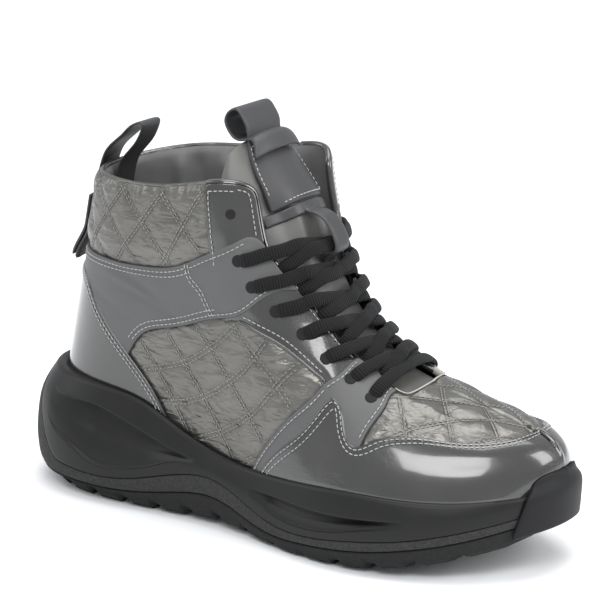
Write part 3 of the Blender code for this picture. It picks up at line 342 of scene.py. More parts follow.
def levels(x):
    """Heights of the sole lines at x: feather line, bed, line a, line b, lower edge, tread."""
    t = (np.asarray(x, float) + SHOE_LENGTH / 2) / SHOE_LENGTH
    rise = open_curve(LEVELS[:, 0], LEVELS[:, 1:], t) * SOLE_HEIGHT
    rise[..., 5] = np.maximum(rise[..., 5], 0)
    return rise


def fold(s):
    """s on the inner side folded back on the outer side."""
    s = np.mod(s, 1.0)
    return np.minimum(s, 1.0 - s)


def rib_rows(s):
    """Top point and Bezier handles of the ribs at s, from splines through the table."""
    s = np.mod(np.asarray(s, float), 1.0)
    k = np.concatenate([RIBS[:, 0], 1 - RIBS[1:-1, 0][::-1]])
    odd = np.concatenate([-RIBS[:, 2:3], RIBS[1:-1, 2:3][::-1]])
    keep = [1, 3, 4, 5, 6, 7, 8]
    even = np.concatenate([RIBS[:, keep], RIBS[1:-1, keep][::-1]])
    extra = np.concatenate([MEDIAL * 0, MEDIAL[1:-1][::-1]])
    r = closed_curve(k, even, s)
    fade = 1 - ease((fold(s) - 0.33) / 0.07)
    width = closed_curve(k, odd, s)[:, 0] * BALL_WIDTH * fade
    more = closed_curve(k, extra, s) * fade[:, None]
    top = np.column_stack([
        FEATHER_BACK + r[:, 0] * FEATHER_LENGTH + more[:, 0],
        width + r[:, 1] * BALL_WIDTH + more[:, 1],
        r[:, 2] * COLLAR_HEIGHT + more[:, 2],
    ])
    return top, r[:, 3:]


def last(s, v):
    """Point of the form: a cubic Bezier from the feather line up to the rib's top at share v."""
    s = np.asarray(s, float)
    shape = s.shape
    s = s.ravel()
    v = np.asarray(v, float).ravel()
    foot, out = plan(s)
    lev = levels(foot[:, 0])
    base = np.column_stack([foot, lev[:, 0]])
    top, hand = rib_rows(s)
    n = np.column_stack([out, np.zeros(len(s))])
    up = np.array([0, 0, 1.0])
    size = np.linalg.norm(top - base, axis=1)[:, None]
    lean = np.radians(hand[:, 0])[:, None]
    drop = np.radians(hand[:, 2])[:, None]
    e = 2e-3
    turn = np.where(np.mod(s, 1) <= 0.5, 1.0, -1.0)[:, None]
    ahead = (rib_rows(s + e)[0] - rib_rows(s - e)[0]) * turn
    slope = np.clip(ahead[:, 2] / np.maximum(np.abs(ahead[:, 0]), 2e-4), -1.2, 0.3)
    slope = slope * np.clip((fold(s) - 0.25) / 0.03, 0, 1)
    ridge = np.column_stack([np.ones(len(s)), np.zeros(len(s)), slope])
    ridge /= np.linalg.norm(ridge, axis=1)[:, None]
    side = out[:, :1] * ridge + out[:, 1:] * np.array([0, 1.0, 0])
    side /= np.linalg.norm(side, axis=1)[:, None]
    one = base + size * hand[:, 1:2] * (np.cos(lean) * up - np.sin(lean) * n)
    two = top + size * hand[:, 3:4] * (np.cos(drop) * side - np.sin(drop) * up)
    t = np.clip(v, 0, 1)[:, None]
    w = 1 - t
    p = w ** 3 * base + 3 * w ** 2 * t * one + 3 * w * t ** 2 * two + t ** 3 * top
    low = np.clip(-v, 0, TUCK) / TUCK
    p -= n * (low * TUCK_INSET)[:, None]
    p[:, 2] -= low * (lev[:, 0] - lev[:, 1] - GAP)
    return p.reshape(*shape, 3)


def facing(s, v):
    """Outward unit normal of the form, from small steps in s and v."""
    s = np.asarray(s, float)
    v = np.asarray(v, float)
    at = np.where(v < 0, v, np.clip(v, 0.02, 0.965))
    e = 1.5e-3

    def one_side(t):
        a = last(t + e, at) - last(t - e, at)
        b = last(t, at + 0.012) - last(t, at - 0.012)
        n = np.cross(a, b)
        return n / np.linalg.norm(n, axis=-1)[..., None]

    n = one_side(s)
    joint = ((v > 0.999) & (fold(s) > RIDGE_FROM))[..., None]
    n = np.where(joint, n + one_side(1 - s), n)
    return n / np.linalg.norm(n, axis=-1)[..., None]


def cuff_pad(s, v):
    """Thickness of the collar's foam: grows above the collar seam and rounds off at the edge."""
    s = fold(np.asarray(s, float))
    v = np.asarray(v, float)
    low = np.interp(s, [0.0, 0.11, 0.16, 0.21, 0.25, 0.30], [0.60, 0.605, 0.655, 0.73, 0.785, 0.80])
    t = np.clip((v - low) / (1 - low), 0, 1)
    lobe = np.sqrt(np.clip(1 - np.clip((t - 0.72) / 0.28, 0, 1) ** 2, 0, 1))
    fade = 1 - ease((s - 0.195) / 0.045)
    return COLLAR_PAD * ease(t / 0.25) * (0.12 + 0.88 * lobe) * fade


print("instep ridge above the ball, mm:", np.round(last([0.41], [1.0])[0] * 1000, 1))


# %% [markdown]
# ## Creases
# Worn or boxed leather folds where the ankle bends. Each crease is a soft trough or ridge along a
# short line on the pattern: a bell across the line, fading out at both ends. They are placed
# where the photograph shows them.

# %% Crease table and function
# from s, v to s, v, half width in mm, height in mm (minus is a trough)
CREASES = np.array([
    [0.088, 0.590, 0.160, 0.500, 2.6, -0.80],
    [0.084, 0.550, 0.150, 0.480, 2.4, 0.45],
    [0.100, 0.500, 0.185, 0.452, 2.2, -0.65],
    [0.070, 0.440, 0.115, 0.360, 2.4, -0.40],
    [0.190, 0.400, 0.232, 0.405, 0.9, -0.70],
    [0.170, 0.415, 0.190, 0.400, 1.0, -0.60],
    [0.208, 0.185, 0.268, 0.190, 0.9, -0.65],
    [0.150, 0.120, 0.185, 0.080, 1.3, -0.50],
    [0.268, 0.300, 0.300, 0.315, 1.4, 0.50],
    [0.262, 0.340, 0.290, 0.335, 1.3, 0.40],
    [0.240, 0.300, 0.292, 0.285, 1.2, -0.35],
    [0.160, 0.260, 0.205, 0.300, 1.5, -0.30],
    [0.380, 0.560, 0.402, 0.420, 2.4, -0.50],
    [0.384, 0.600, 0.425, 0.560, 2.4, 0.45],
    [0.372, 0.480, 0.384, 0.350, 1.8, 0.55],
])
GRAIN_CREASES = np.array([
    [0.395, 0.180, 0.450, 0.235, 5.0, -0.35],
    [0.300, 0.060, 0.330, 0.110, 6.0, 0.40],
])


def line_share(q, a, b):
    """Distance from pattern points to the segment a b, and the share along it."""
    p = q * PLANE
    a = a * PLANE
    e = b * PLANE - a
    t = np.clip(((p - a) @ e) / (e @ e), 0, 1)
    return np.linalg.norm(p - a - t[..., None] * e, axis=-1), t


def creases(s, v):
    """Sum of the bells of all crease lines, in metres."""
    q = np.stack([fold(s), v], -1)
    rise = np.zeros(q.shape[:-1])
    for row in np.vstack([CREASES, GRAIN_CREASES]):
        d, t = line_share(q, row[:2], row[2:4])
        across = np.exp(-(d / (row[4] * MM)) ** 2)
        along = np.sin(math.pi * np.clip(t, 0.06, 0.94)) ** 0.5
        rise += row[5] * MM * across * along
    return rise


print("creases:", len(CREASES) + len(GRAIN_CREASES))


# %% [markdown]
# ## Meshes from arrays
# A piece is a grid of points, wrapped or open, whose faces are worked out by arithmetic on the grid's
# numbers. One function puts points, faces and any fields that a material reads into Blender.

# %% Mesh helpers
def grid_faces(m, n, wrap_m=False, wrap_n=False, flip=False):
    """Quads between neighbouring rows and columns of an m by n grid."""
    a, b = np.meshgrid(np.arange(m if wrap_m else m - 1), np.arange(n if wrap_n else n - 1), indexing="ij")
    c = (a + 1) % m
    d = (b + 1) % n
    f = np.stack([a * n + b, c * n + b, c * n + d, a * n + d], -1).reshape(-1, 4)
    return f[:, ::-1] if flip else f


def add_piece(name, points, faces, paint, slot, replaces=(), fields=None, uv=None, merge=False):
    """New mesh object at the origin that rides on the root body."""
    mesh = bpy.data.meshes.new(name)
    faces = faces.tolist() if isinstance(faces, np.ndarray) else faces
    mesh.from_pydata(np.asarray(points, float).reshape(-1, 3).tolist(), [], faces)
    for key, value in (fields or {}).items():
        value = np.asarray(value, np.float32)
        kind = "FLOAT_VECTOR" if value.ndim > 1 and value.shape[-1] == 3 else "FLOAT"
        slot_name = "vector" if kind == "FLOAT_VECTOR" else "value"
        mesh.attributes.new(key, kind, "POINT").data.foreach_set(slot_name, value.ravel())
    if uv is not None:
        corner = np.empty(len(mesh.loops), np.int32)
        mesh.loops.foreach_get("vertex_index", corner)
        layer = mesh.uv_layers.new(name="UVMap")
        layer.data.foreach_set("uv", np.asarray(uv, np.float32).reshape(-1, 2)[corner].ravel())
    if merge:
        bm = bmesh.new()
        bm.from_mesh(mesh)
        bmesh.ops.remove_doubles(bm, verts=bm.verts, dist=2e-6)
        bmesh.ops.recalc_face_normals(bm, faces=bm.faces)
        bm.to_mesh(mesh)
        bm.free()
    mesh.polygons.foreach_set("use_smooth", np.ones(len(mesh.polygons), bool))
    mesh.materials.append(paint)
    piece = bpy.data.objects.new(name, mesh)
    bpy.context.scene.collection.objects.link(piece)
    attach(piece, "root")
    if replaces:
        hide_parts(*replaces)
    print(name, len(mesh.vertices), "points,", sum(len(p.vertices) - 2 for p in mesh.polygons), "triangles")
    return piece


def grid_normals(g):
    """Unit normals of a grid of points, from its row and column differences."""
    n = np.cross(np.gradient(g, axis=0), np.gradient(g, axis=1))
    return n / np.maximum(np.linalg.norm(n, axis=-1)[..., None], 1e-12)


def strip(name, middle, thick, paint, slot, replaces=(), merge=True):
    """Sheet of material around a middle grid, its thickness falling to nothing at the borders."""
    m, n = middle.shape[:2]
    u = np.linspace(-1, 1, m)[:, None]
    w = np.linspace(-1, 1, n)[None, :]
    body = np.sqrt(np.clip(1 - np.abs(w) ** 14, 0, 1)) * np.sqrt(np.clip(1 - np.abs(u) ** 40, 0, 1))
    half = grid_normals(middle) * (body * thick / 2)[..., None]
    points = np.concatenate([(middle + half).reshape(-1, 3), (middle - half).reshape(-1, 3)])
    faces = np.vstack([grid_faces(m, n), grid_faces(m, n, flip=True) + m * n])
    run = np.append(0, np.cumsum(np.linalg.norm(np.diff(middle[:, n // 2], axis=0), axis=1)))
    wide = np.linalg.norm(middle[m // 2, -1] - middle[m // 2, 0])
    print(name, "flat size, mm:", round(run[-1] * 1000), "by", round(wide * 1000))
    uv = np.stack(np.broadcast_arrays(w * wide / 2, run[:, None]), -1)
    return add_piece(name, points, faces, paint, slot, replaces, uv=np.concatenate([uv, uv]), merge=merge)


def refined(rows, along, across):
    """Spline through a coarse grid of points, resampled along and across."""
    m, n = rows.shape[:2]
    d = np.linalg.norm(np.diff(rows[:, n // 2], axis=0), axis=1)
    k = np.append(0.0, np.cumsum(d))
    flat = open_curve(k, rows.reshape(m, -1), np.linspace(0, k[-1], along)).reshape(along, n, 3)
    flat = flat.transpose(1, 0, 2).reshape(n, -1)
    fine = open_curve(np.linspace(0, 1, n), flat, np.linspace(0, 1, across)) if n > 2 else (
        flat[:1] + (flat[1:] - flat[:1]) * np.linspace(0, 1, across)[:, None])
    return fine.reshape(across, along, 3).transpose(1, 0, 2)


# %% [markdown]
# ## Shader maths as Python
# A wrapped socket can be added and multiplied like a number, and each sign adds a Math node. The
# material then reads like its formula.

# %% Shader helper
class Value:
    """A number that runs through a node tree."""

    def __init__(self, paint, socket):
        self.paint = paint
        self.socket = socket

    def math(self, operation, *others):
        made = self.paint.node("ShaderNodeMath", {"operation": operation}, dict(enumerate([self, *others])))
        return Value(self.paint, made.outputs[0])

    def __add__(self, other):
        return self.math("ADD", other)

    def __sub__(self, other):
        return self.math("SUBTRACT", other)

    def __rsub__(self, other):
        return (self * -1.0).math("ADD", other)

    def __mul__(self, other):
        return self.math("MULTIPLY", other)

    def __truediv__(self, other):
        return self.math("DIVIDE", other)

    def __pow__(self, other):
        return self.math("POWER", other)

    __radd__ = __add__
    __rmul__ = __mul__

    def clipped(self):
        return self.math("MINIMUM", 1.0).math("MAXIMUM", 0.0)

    def bell(self, width):
        """exp of minus the square of value over width."""
        x = self * (1.0 / width)
        return (x * x * -1.0).math("EXPONENT")

    def step(self, low, high):
        """Smooth step of the value from low to high."""
        t = ((self - low) * (1.0 / (high - low))).clipped()
        return t * t * (3.0 - t * 2.0)


class Paint:
    """One Principled material, its nodes made from Python."""

    def __init__(self, name, **constants):
        self.material = bpy.data.materials.new(name)
        self.material.use_nodes = True
        self.tree = self.material.node_tree
        self.shader = self.tree.nodes["Principled BSDF"]
        for key, value in constants.items():
            self.shader.inputs[key.replace("_", " ").title().replace("Ior", "IOR")].default_value = value
        self.place = self.node("ShaderNodeTexCoord")
        self.relief = None

    def node(self, kind, settings=None, inputs=None):
        made = self.tree.nodes.new(kind)
        for key, value in (settings or {}).items():
            setattr(made, key, value)
        for key, value in (inputs or {}).items():
            if isinstance(value, Value):
                self.tree.links.new(value.socket, made.inputs[key])
            elif isinstance(value, bpy.types.NodeSocket):
                self.tree.links.new(value, made.inputs[key])
            else:
                made.inputs[key].default_value = value
        return made

    def object_place(self, stretch=(1, 1, 1)):
        mapped = self.node("ShaderNodeMapping", {}, {
            "Vector": self.place.outputs["Object"], "Scale": stretch})
        return mapped.outputs[0]

    def uv_place(self, stretch=(1, 1, 1)):
        mapped = self.node("ShaderNodeMapping", {}, {"Vector": self.place.outputs["UV"], "Scale": stretch})
        return mapped.outputs[0]

    def noise(self, scale, detail=3.0, where=None, rough=0.5, twist=0.0):
        made = self.node("ShaderNodeTexNoise", {}, {
            "Vector": where or self.place.outputs["Object"], "Scale": scale, "Detail": detail,
            "Roughness": rough, "Distortion": twist})
        return Value(self, made.outputs[0])

    def cells(self, scale, where=None, feature="F1"):
        made = self.node("ShaderNodeTexVoronoi", {"feature": feature}, {
            "Vector": where or self.place.outputs["Object"], "Scale": scale})
        return Value(self, made.outputs["Distance"])

    def field(self, name):
        return Value(self, self.node("ShaderNodeAttribute", {"attribute_name": name}).outputs["Fac"])

    def field_parts(self, name):
        vector = self.node("ShaderNodeAttribute", {"attribute_name": name}).outputs["Vector"]
        parts = self.node("ShaderNodeSeparateXYZ", {}, {0: vector})
        return [Value(self, socket) for socket in parts.outputs]

    def blend(self, share, low, high):
        """Colour from low to high by share."""
        made = self.node("ShaderNodeMix", {"data_type": "RGBA"}, {0: share})
        for key, colour in ((6, low), (7, high)):
            if isinstance(colour, bpy.types.NodeSocket):
                self.tree.links.new(colour, made.inputs[key])
            else:
                made.inputs[key].default_value = (*colour, 1)
        return made.outputs[2]

    def colour(self, socket):
        self.tree.links.new(socket, self.shader.inputs["Base Color"])

    def rough(self, value):
        self.tree.links.new(value.socket, self.shader.inputs["Roughness"])

    def bump(self, height, depth_mm):
        """Adds a relief of that depth; several are chained."""
        inputs = {"Height": height, "Strength": 1.0, "Distance": depth_mm * MM}
        if self.relief is not None:
            inputs["Normal"] = self.relief
        self.relief = self.node("ShaderNodeBump", {}, inputs).outputs[0]
        self.tree.links.new(self.relief, self.shader.inputs["Normal"])


# %% [markdown]
# ## Finishes
# The nylon has a metal foil under a fine weave, so it is half metallic and creases into bright streaks.
# The matt leather is nearly plain, with pores. The patent leather is dark under a clear coat that
# shows a fine crackle where it stretches. Foams and rubbers differ in grain and gloss.

# %% Quilted nylon
def nylon_paint():
    """Double seam grooves from the quilt field, streaky wrinkles, fine weave; painted shade in the seam
    grooves and next to the panels.
    """
    p = Paint("quilted_nylon", metallic=0.78)
    # i and j number the quilt seams; the third part is painted shade next to the panels
    i, j, painted_panel_shade = p.field_parts("quilt")
    wide_i, wide_j = p.field_parts("pitch")[:2]
    near = None
    groove = None
    for at, wide in ((i, wide_i), (j, wide_j)):
        d = (at.math("FRACT") - 0.5).math("ABSOLUTE") * -1.0 + 0.5
        d = d * wide
        line = (d - 0.8).bell(0.55)
        groove = line if groove is None else groove.math("MAXIMUM", line)
        near = d if near is None else near.math("MINIMUM", d)
    streak = p.noise(210.0, 3.0, p.object_place((0.35, 0.35, 1.0)), 0.55, 0.8)
    fold_noise = p.noise(75.0, 2.5, p.object_place((0.5, 0.6, 1.3)), 0.5, 1.2)
    weave = p.noise(2600.0, 1.0)
    # tone: lighter over the cushions and darker within 4 mm of a quilt seam, painted shade in the grooves
    tone = (p.noise(30.0, 2.0) * 0.45 + streak * 0.35 + near.step(0.0, 4.0) * 0.2).clipped()
    base = p.blend(tone, (0.080, 0.078, 0.072), (0.205, 0.199, 0.185))
    # seam: the stitched groove darkened further, painted shade along the seam lines
    seam = p.blend(groove * 0.12, base, (0.050, 0.048, 0.045))
    # painted shade on the nylon next to and under the panels
    p.colour(p.blend(painted_panel_shade, seam, (0.030, 0.030, 0.029)))
    p.rough(streak * 0.24 + 0.22)
    p.bump(fold_noise, 1.7)
    p.bump(streak, 1.1)
    p.bump(groove * -1.0, 0.14)
    p.bump(weave, 0.02)
    return p.material


# %% Matt and patent leather
def leather_paint(name, dark, light, gloss, depth=0.05):
    """Pores from cells, slow tone from noise, painted shade along the cut edge from the rim field."""
    p = Paint(name, coat_weight=0.12, coat_roughness=0.35)
    pores = p.cells(1500.0)
    cloud = p.noise(45.0, 3.0)
    # edge: painted shade, darkest at the cut edge and gone 0.55 mm inside it
    edge = 1.0 - p.field("rim").step(0.0, 0.55)
    p.colour(p.blend(edge, p.blend(cloud, dark, light), (0.032, 0.032, 0.033)))
    p.rough(cloud * 0.14 + gloss)
    p.bump(p.noise(120.0, 3.0), 0.16)
    p.bump(pores, depth)
    return p.material


def patent_paint(name, dark, light, crackle=0.16):
    """Dark hide under a clear coat; a stretched crackle breaks up its highlights; painted shade along the cut
    edge.
    """
    p = Paint(name, metallic=0.25, coat_weight=0.9, coat_roughness=0.09, coat_ior=1.55)
    cloud = p.noise(38.0, 3.0)
    lines = p.noise(620.0, 3.0, p.object_place((0.35, 1.0, 0.8)), 0.6, 1.5)
    patchy = p.noise(24.0, 1.0).step(0.46, 0.62)
    # edge: painted shade, darkest at the cut edge and gone 0.5 mm inside it
    edge = 1.0 - p.field("rim").step(0.0, 0.5)
    p.colour(p.blend(edge, p.blend(cloud, dark, light), (0.010, 0.010, 0.010)))
    p.rough(cloud * 0.10 + 0.18)
    p.bump(p.noise(34.0, 2.0), 0.55)
    p.bump(lines * patchy, crackle)
    return p.material


# %% Plain finishes
def simple_paint(name, dark, light, gloss, grain, depth, cloud=60.0, **more):
    """Two tones of one colour under a small grain."""
    p = Paint(name, **more)
    tone = p.noise(cloud, 3.0)
    p.colour(p.blend(tone, dark, light))
    p.rough(tone * 0.12 + gloss)
    p.bump(p.noise(grain, 2.0), depth)
    return p.material


def foam_grain_paint(name, dark, light, depth):
    """Pebbled foam: cells of two sizes."""
    p = Paint(name, specular_ior_level=0.25)
    small = p.cells(900.0)
    large = p.cells(420.0)
    p.colour(p.blend((small * 0.9 + large * 0.5).clipped(), dark, light))
    p.rough(large * 0.15 + 0.70)
    p.bump(small + large * 0.7, depth)
    return p.material


def lace_paint():
    """Knitted cord: ribs across the lace and a fine herringbone, from its own length and width."""
    p = Paint("lace_knit", sheen_weight=0.05, specular_ior_level=0.15)
    place = p.node("ShaderNodeSeparateXYZ", {}, {0: p.place.outputs["UV"]})
    wide = Value(p, place.outputs[0])
    run = Value(p, place.outputs[1])
    ribs = (run * (2 * math.pi / 0.00125)).math("SINE") * 0.5 + 0.5
    slant = ((run + wide.math("ABSOLUTE") * 0.6) * (2 * math.pi / 0.0007)).math("SINE") * 0.5 + 0.5
    knit = ribs * 0.7 + slant * 0.3
    p.colour(p.blend(knit, (0.003, 0.003, 0.003), (0.014, 0.014, 0.015)))
    p.shader.inputs["Roughness"].default_value = 0.82
    p.bump(knit, 0.28)
    p.bump(p.noise(1500.0, 2.0), 0.08)
    return p.material


def pile_paint(name, dark, light):
    """Short brushed pile."""
    p = Paint(name, sheen_weight=0.3)
    hair = p.noise(2200.0, 3.0, None, 0.7)
    p.colour(p.blend(hair, dark, light))
    p.shader.inputs["Roughness"].default_value = 0.95
    p.bump(hair, 0.35)
    return p.material


NYLON = nylon_paint()
MATT = leather_paint("matt_leather", (0.062, 0.062, 0.062), (0.086, 0.086, 0.086), 0.46)
PATENT = patent_paint("patent_leather", (0.020, 0.020, 0.019), (0.044, 0.043, 0.041))
TAPE = leather_paint("strap_leather", (0.028, 0.028, 0.027), (0.043, 0.043, 0.041), 0.46, 0.03)
TONGUE_SKIN = leather_paint("tongue_leather", (0.085, 0.084, 0.080), (0.125, 0.123, 0.117), 0.38, 0.03)
LINING = simple_paint("lining_satin", (0.100, 0.100, 0.101), (0.185, 0.185, 0.184), 0.42, 1800.0, 0.05)
SMOOTH = simple_paint("midsole_rubber", (0.006, 0.006, 0.006), (0.010, 0.010, 0.010), 0.38, 900.0, 0.03,
                      specular_ior_level=0.28)
BUMPER = simple_paint("bumper_rubber", (0.008, 0.008, 0.009), (0.012, 0.012, 0.013), 0.50, 700.0, 0.05,
                      specular_ior_level=0.22)
WEDGE = foam_grain_paint("wedge_foam", (0.009, 0.009, 0.009), (0.034, 0.034, 0.033), 0.22)
TREAD = foam_grain_paint("tread_rubber", (0.006, 0.006, 0.006), (0.016, 0.016, 0.016), 0.08)
LACE = lace_paint()
PILE = pile_paint("pad_pile", (0.002, 0.002, 0.002), (0.012, 0.012, 0.012))
FLEECE = pile_paint("fleece_edge", (0.180, 0.175, 0.150), (0.560, 0.550, 0.500))
THREAD = simple_paint("seam_thread", (0.260, 0.260, 0.260), (0.460, 0.460, 0.460), 0.55, 3000.0, 0.03)
QUILT_THREAD = simple_paint("quilt_thread", (0.200, 0.196, 0.185), (0.350, 0.343, 0.325), 0.45, 3000.0, 0.03)
# near-black finish for the punched holes: painted shade for the inside of each hole
HOLE_SHADE = simple_paint("hole_shade", (0.002, 0.002, 0.002), (0.004, 0.004, 0.004), 0.8, 900.0, 0.02)
SOCK = simple_paint("insole_cloth", (0.030, 0.030, 0.031), (0.050, 0.050, 0.051), 0.80, 1600.0, 0.10)
print("materials:", len(bpy.data.materials))


# %% [markdown]
# ## Cutting panels
# On the real boot a panel is cut from hide along a knife line and sewn down. Here its outline is a ring
# of seam lines on the flat pattern. The inside is filled with evenly spaced points and triangulated,
# and the surface rises from the seam in a small round edge. The inner side of the boot is the mirror
# image in s.

# %% Pattern geometry
def inside_by(q, loop):
    """Signed distance on the pattern to a closed outline, inside positive."""
    p = q * PLANE
    a = loop * PLANE
    b = np.roll(a, -1, 0)
    best = np.full(len(p), 1e9)
    cross = np.zeros(len(p), int)
    for i in range(len(a)):
        e = b[i] - a[i]
        w = p - a[i]
        t = np.clip((w @ e) / max(e @ e, 1e-18), 0, 1)
        best = np.minimum(best, np.linalg.norm(w - t[:, None] * e, axis=1))
        hit = (a[i, 1] > p[:, 1]) != (b[i, 1] > p[:, 1])
        rise = e[1] if abs(e[1]) > 1e-15 else 1e-15
        cross += hit & (p[:, 0] < a[i, 0] + e[0] * (p[:, 1] - a[i, 1]) / rise)
    return np.where(cross % 2 == 1, best, -best)


def line_distance(q, lines):
    """Distance on the pattern to the nearest of some polylines."""
    best = np.full(len(q), 1e9)
    for line in lines:
        for a, b in zip(line[:-1], line[1:]):
            best = np.minimum(best, line_share(q, a, b)[0])
    return best


def joined(runs):
    """One closed outline from runs that follow each other."""
    return np.vstack([np.asarray(r)[:-1] for r in runs])


def straight(a, b, step=0.0016):
    count = max(2, int(np.linalg.norm((np.array(b) - a) * PLANE) / step) + 1)
    return np.array(a) + (np.array(b) - np.array(a)) * np.linspace(0, 1, count)[:, None]


TRIANGLE_HEIGHT = 0.866


def filled(loop, gap, rims=(0.00015, 0.0004, 0.0009)):
    """Triangles inside an outline: the outline, rows close inside it, then an even field of points."""
    a = loop * PLANE
    t = np.roll(a, -1, 0) - np.roll(a, 1, 0)
    n = np.stack([-t[:, 1], t[:, 0]], 1)
    n /= np.maximum(np.linalg.norm(n, axis=1)[:, None], 1e-9)
    area = np.sum(a[:, 0] * np.roll(a[:, 1], -1) - np.roll(a[:, 0], -1) * a[:, 1])
    n *= np.sign(area)
    spots = []
    for by in rims:
        near = (a + n * by) / PLANE
        spots.append(near[inside_by(near, loop) > by * 0.93])
    low = a.min(0)
    high = a.max(0)
    columns = np.arange(low[0], high[0], gap)
    x, y = np.meshgrid(columns, np.arange(low[1], high[1], gap * TRIANGLE_HEIGHT), indexing="ij")
    x = x + (np.arange(x.shape[1]) % 2) * gap / 2
    field = np.column_stack([x.ravel(), y.ravel()]) / PLANE
    spots.append(field[inside_by(field, loop) > rims[-1] + gap * 0.45])
    pts = np.vstack([loop, *spots]) * PLANE
    edges = [(i, (i + 1) % len(loop)) for i in range(len(loop))]
    got = delaunay_2d_cdt([Vector(p) for p in pts], edges, [], 0, 1e-7)
    q = np.array([tuple(p) for p in got[0]]) / PLANE
    tris = np.array([f for f in got[2] if len(f) == 3])
    tris = tris[inside_by(q[tris].mean(axis=1), loop) > 1e-9]
    used = np.unique(tris)
    back = np.full(len(q), -1)
    back[used] = np.arange(len(used))
    return q[used], back[tris]


throat_line = smooth_line(THROAT)
throat_line[:, 1] = np.minimum(throat_line[:, 1], 1.0)


def throat_part(s0, s1):
    """The stretch of the throat edge between two places s, ends exact."""
    ends = np.array([[s, np.interp(s, throat_line[:, 0], throat_line[:, 1])] for s in (s0, s1)])
    keep = (throat_line[:, 0] > min(s0, s1) + 4e-4) & (throat_line[:, 0] < max(s0, s1) - 4e-4)
    inner = throat_line[keep]
    return np.vstack([ends[:1], inner if s0 < s1 else inner[::-1], ends[1:]])


print("throat edge points:", len(throat_line))


# %% Panel outlines, as runs of seam lines; only the true edges are rounded
def end_on(line, first=None, final=None):
    """The line with its end points set exactly."""
    line = np.array(line)
    if first is not None:
        line[0] = first
    if final is not None:
        line[-1] = final
    return line


def at_throat(s):
    return np.array([s, np.interp(s, throat_line[:, 0], throat_line[:, 1])])


BELOW = -0.10
collar_line = end_on(smooth_line(COLLAR_SEAM), final=at_throat(0.2625))
strap_foot = end_on(smooth_line(STRAP_FOOT), first=at_throat(0.2810))
strap_seam = smooth_line(STRAP_SEAM)
flap_rear = smooth_line(FLAP_REAR)
counter_top = smooth_line(COUNTER_TOP)
eyestay_foot = smooth_line(EYESTAY_FOOT)
star_top = end_on(smooth_line(STAR_TOP), final=at_throat(0.3425))
star_rear = smooth_line(STAR_REAR)
star_front = end_on(smooth_line(STAR_FRONT), first=at_throat(0.3745))
mud_top = smooth_line(MUDGUARD_TOP)

eyestay_throat = throat_part(0.262, 0.3500)
strap_throat = throat_part(0.2625, 0.2810)
star_throat = throat_part(0.3425, 0.3745)
flap_throat = throat_part(0.2380, 0.2610)

PANELS = {
    "patent_eyestay": dict(
        edges=[eyestay_foot, eyestay_throat],
        runs=[eyestay_foot, straight(eyestay_foot[-1], (0.322, 0.400)),
              straight((0.322, 0.400), (0.3500, 0.600)),
              straight((0.3500, 0.600), at_throat(0.3500)), eyestay_throat[::-1],
              straight(at_throat(0.262), (0.232, 0.640)), straight((0.232, 0.640), eyestay_foot[0])],
        height=0.0006, paint=PATENT, slot="grey_leather"),
    "flap": dict(
        edges=[flap_rear, flap_throat, straight((0.2115, 1.0), (0.2380, 1.0))],
        runs=[flap_rear[::-1], straight((0.2115, 1.0), (0.2380, 1.0)), flap_throat,
              straight(flap_throat[-1], (0.250, 0.700)), straight((0.250, 0.700), flap_rear[-1])],
        height=0.0010, paint=PATENT, slot="grey_leather"),
    "matt_quarter": dict(
        edges=[collar_line, strap_throat, strap_foot],
        runs=[collar_line, strap_throat, strap_foot, straight(strap_foot[-1], (0.060, 0.250)),
              straight((0.060, 0.250), (0.0, 0.350)), straight((0.0, 0.350), (0.0, 0.600))],
        height=0.0012, paint=MATT, slot="grey_leather"),
    "star_overlay": dict(
        edges=[star_top, star_throat, star_front, star_rear],
        runs=[star_top, star_throat, star_front, straight(star_front[-1], (0.322, 0.060)),
              straight((0.322, 0.060), (0.262, BELOW)), straight((0.262, BELOW), star_rear[0]), star_rear],
        height=0.0012, paint=MATT, slot="grey_leather"),
    "mudguard": dict(
        edges=[mud_top],
        runs=[mud_top, straight(mud_top[-1], (0.5, BELOW)), straight((0.5, BELOW), mud_top[0])],
        height=0.0016, paint=PATENT, slot="grey_leather"),
    "heel_counter": dict(
        edges=[counter_top],
        runs=[counter_top, straight(counter_top[-1], (0.0, BELOW)), straight((0.0, BELOW), counter_top[0])],
        height=0.0016, paint=PATENT, slot="grey_leather"),
}
for part in PANELS.values():
    part["loop"] = joined(part["runs"])
print("panels:", list(PANELS))


# %% [markdown]
# ## The skin of the upper
# The quilted nylon goes right round the boot under the panels. Between its double seams the wadding
# pushes it out like small cushions; next to a panel the pressure of the seam flattens it.

# %% Quilt pattern
# crossing of two seams, step to the next crossing down one seam, step along the other seam
QUILTS = {
    "collar": np.array([[0.140, 0.835], [0.0233, -0.140], [0.0233, 0.140]]),
    "side": np.array([[0.215, 0.280], [0.0165, -0.102], [0.0300, 0.100]]),
    "vamp": np.array([[0.413, 0.530], [0.0000, -0.235], [0.0370, 0.185]]),
}
PUFF = 0.0010


def zone_of(s, v):
    """0 collar, 1 side, 2 vamp."""
    f = fold(s)
    low = np.interp(f, COLLAR_SEAM[:, 0], COLLAR_SEAM[:, 1])
    return np.where((f < 0.222) & (v > low - 0.03), 0, np.where(f > 0.335, 2, 1))


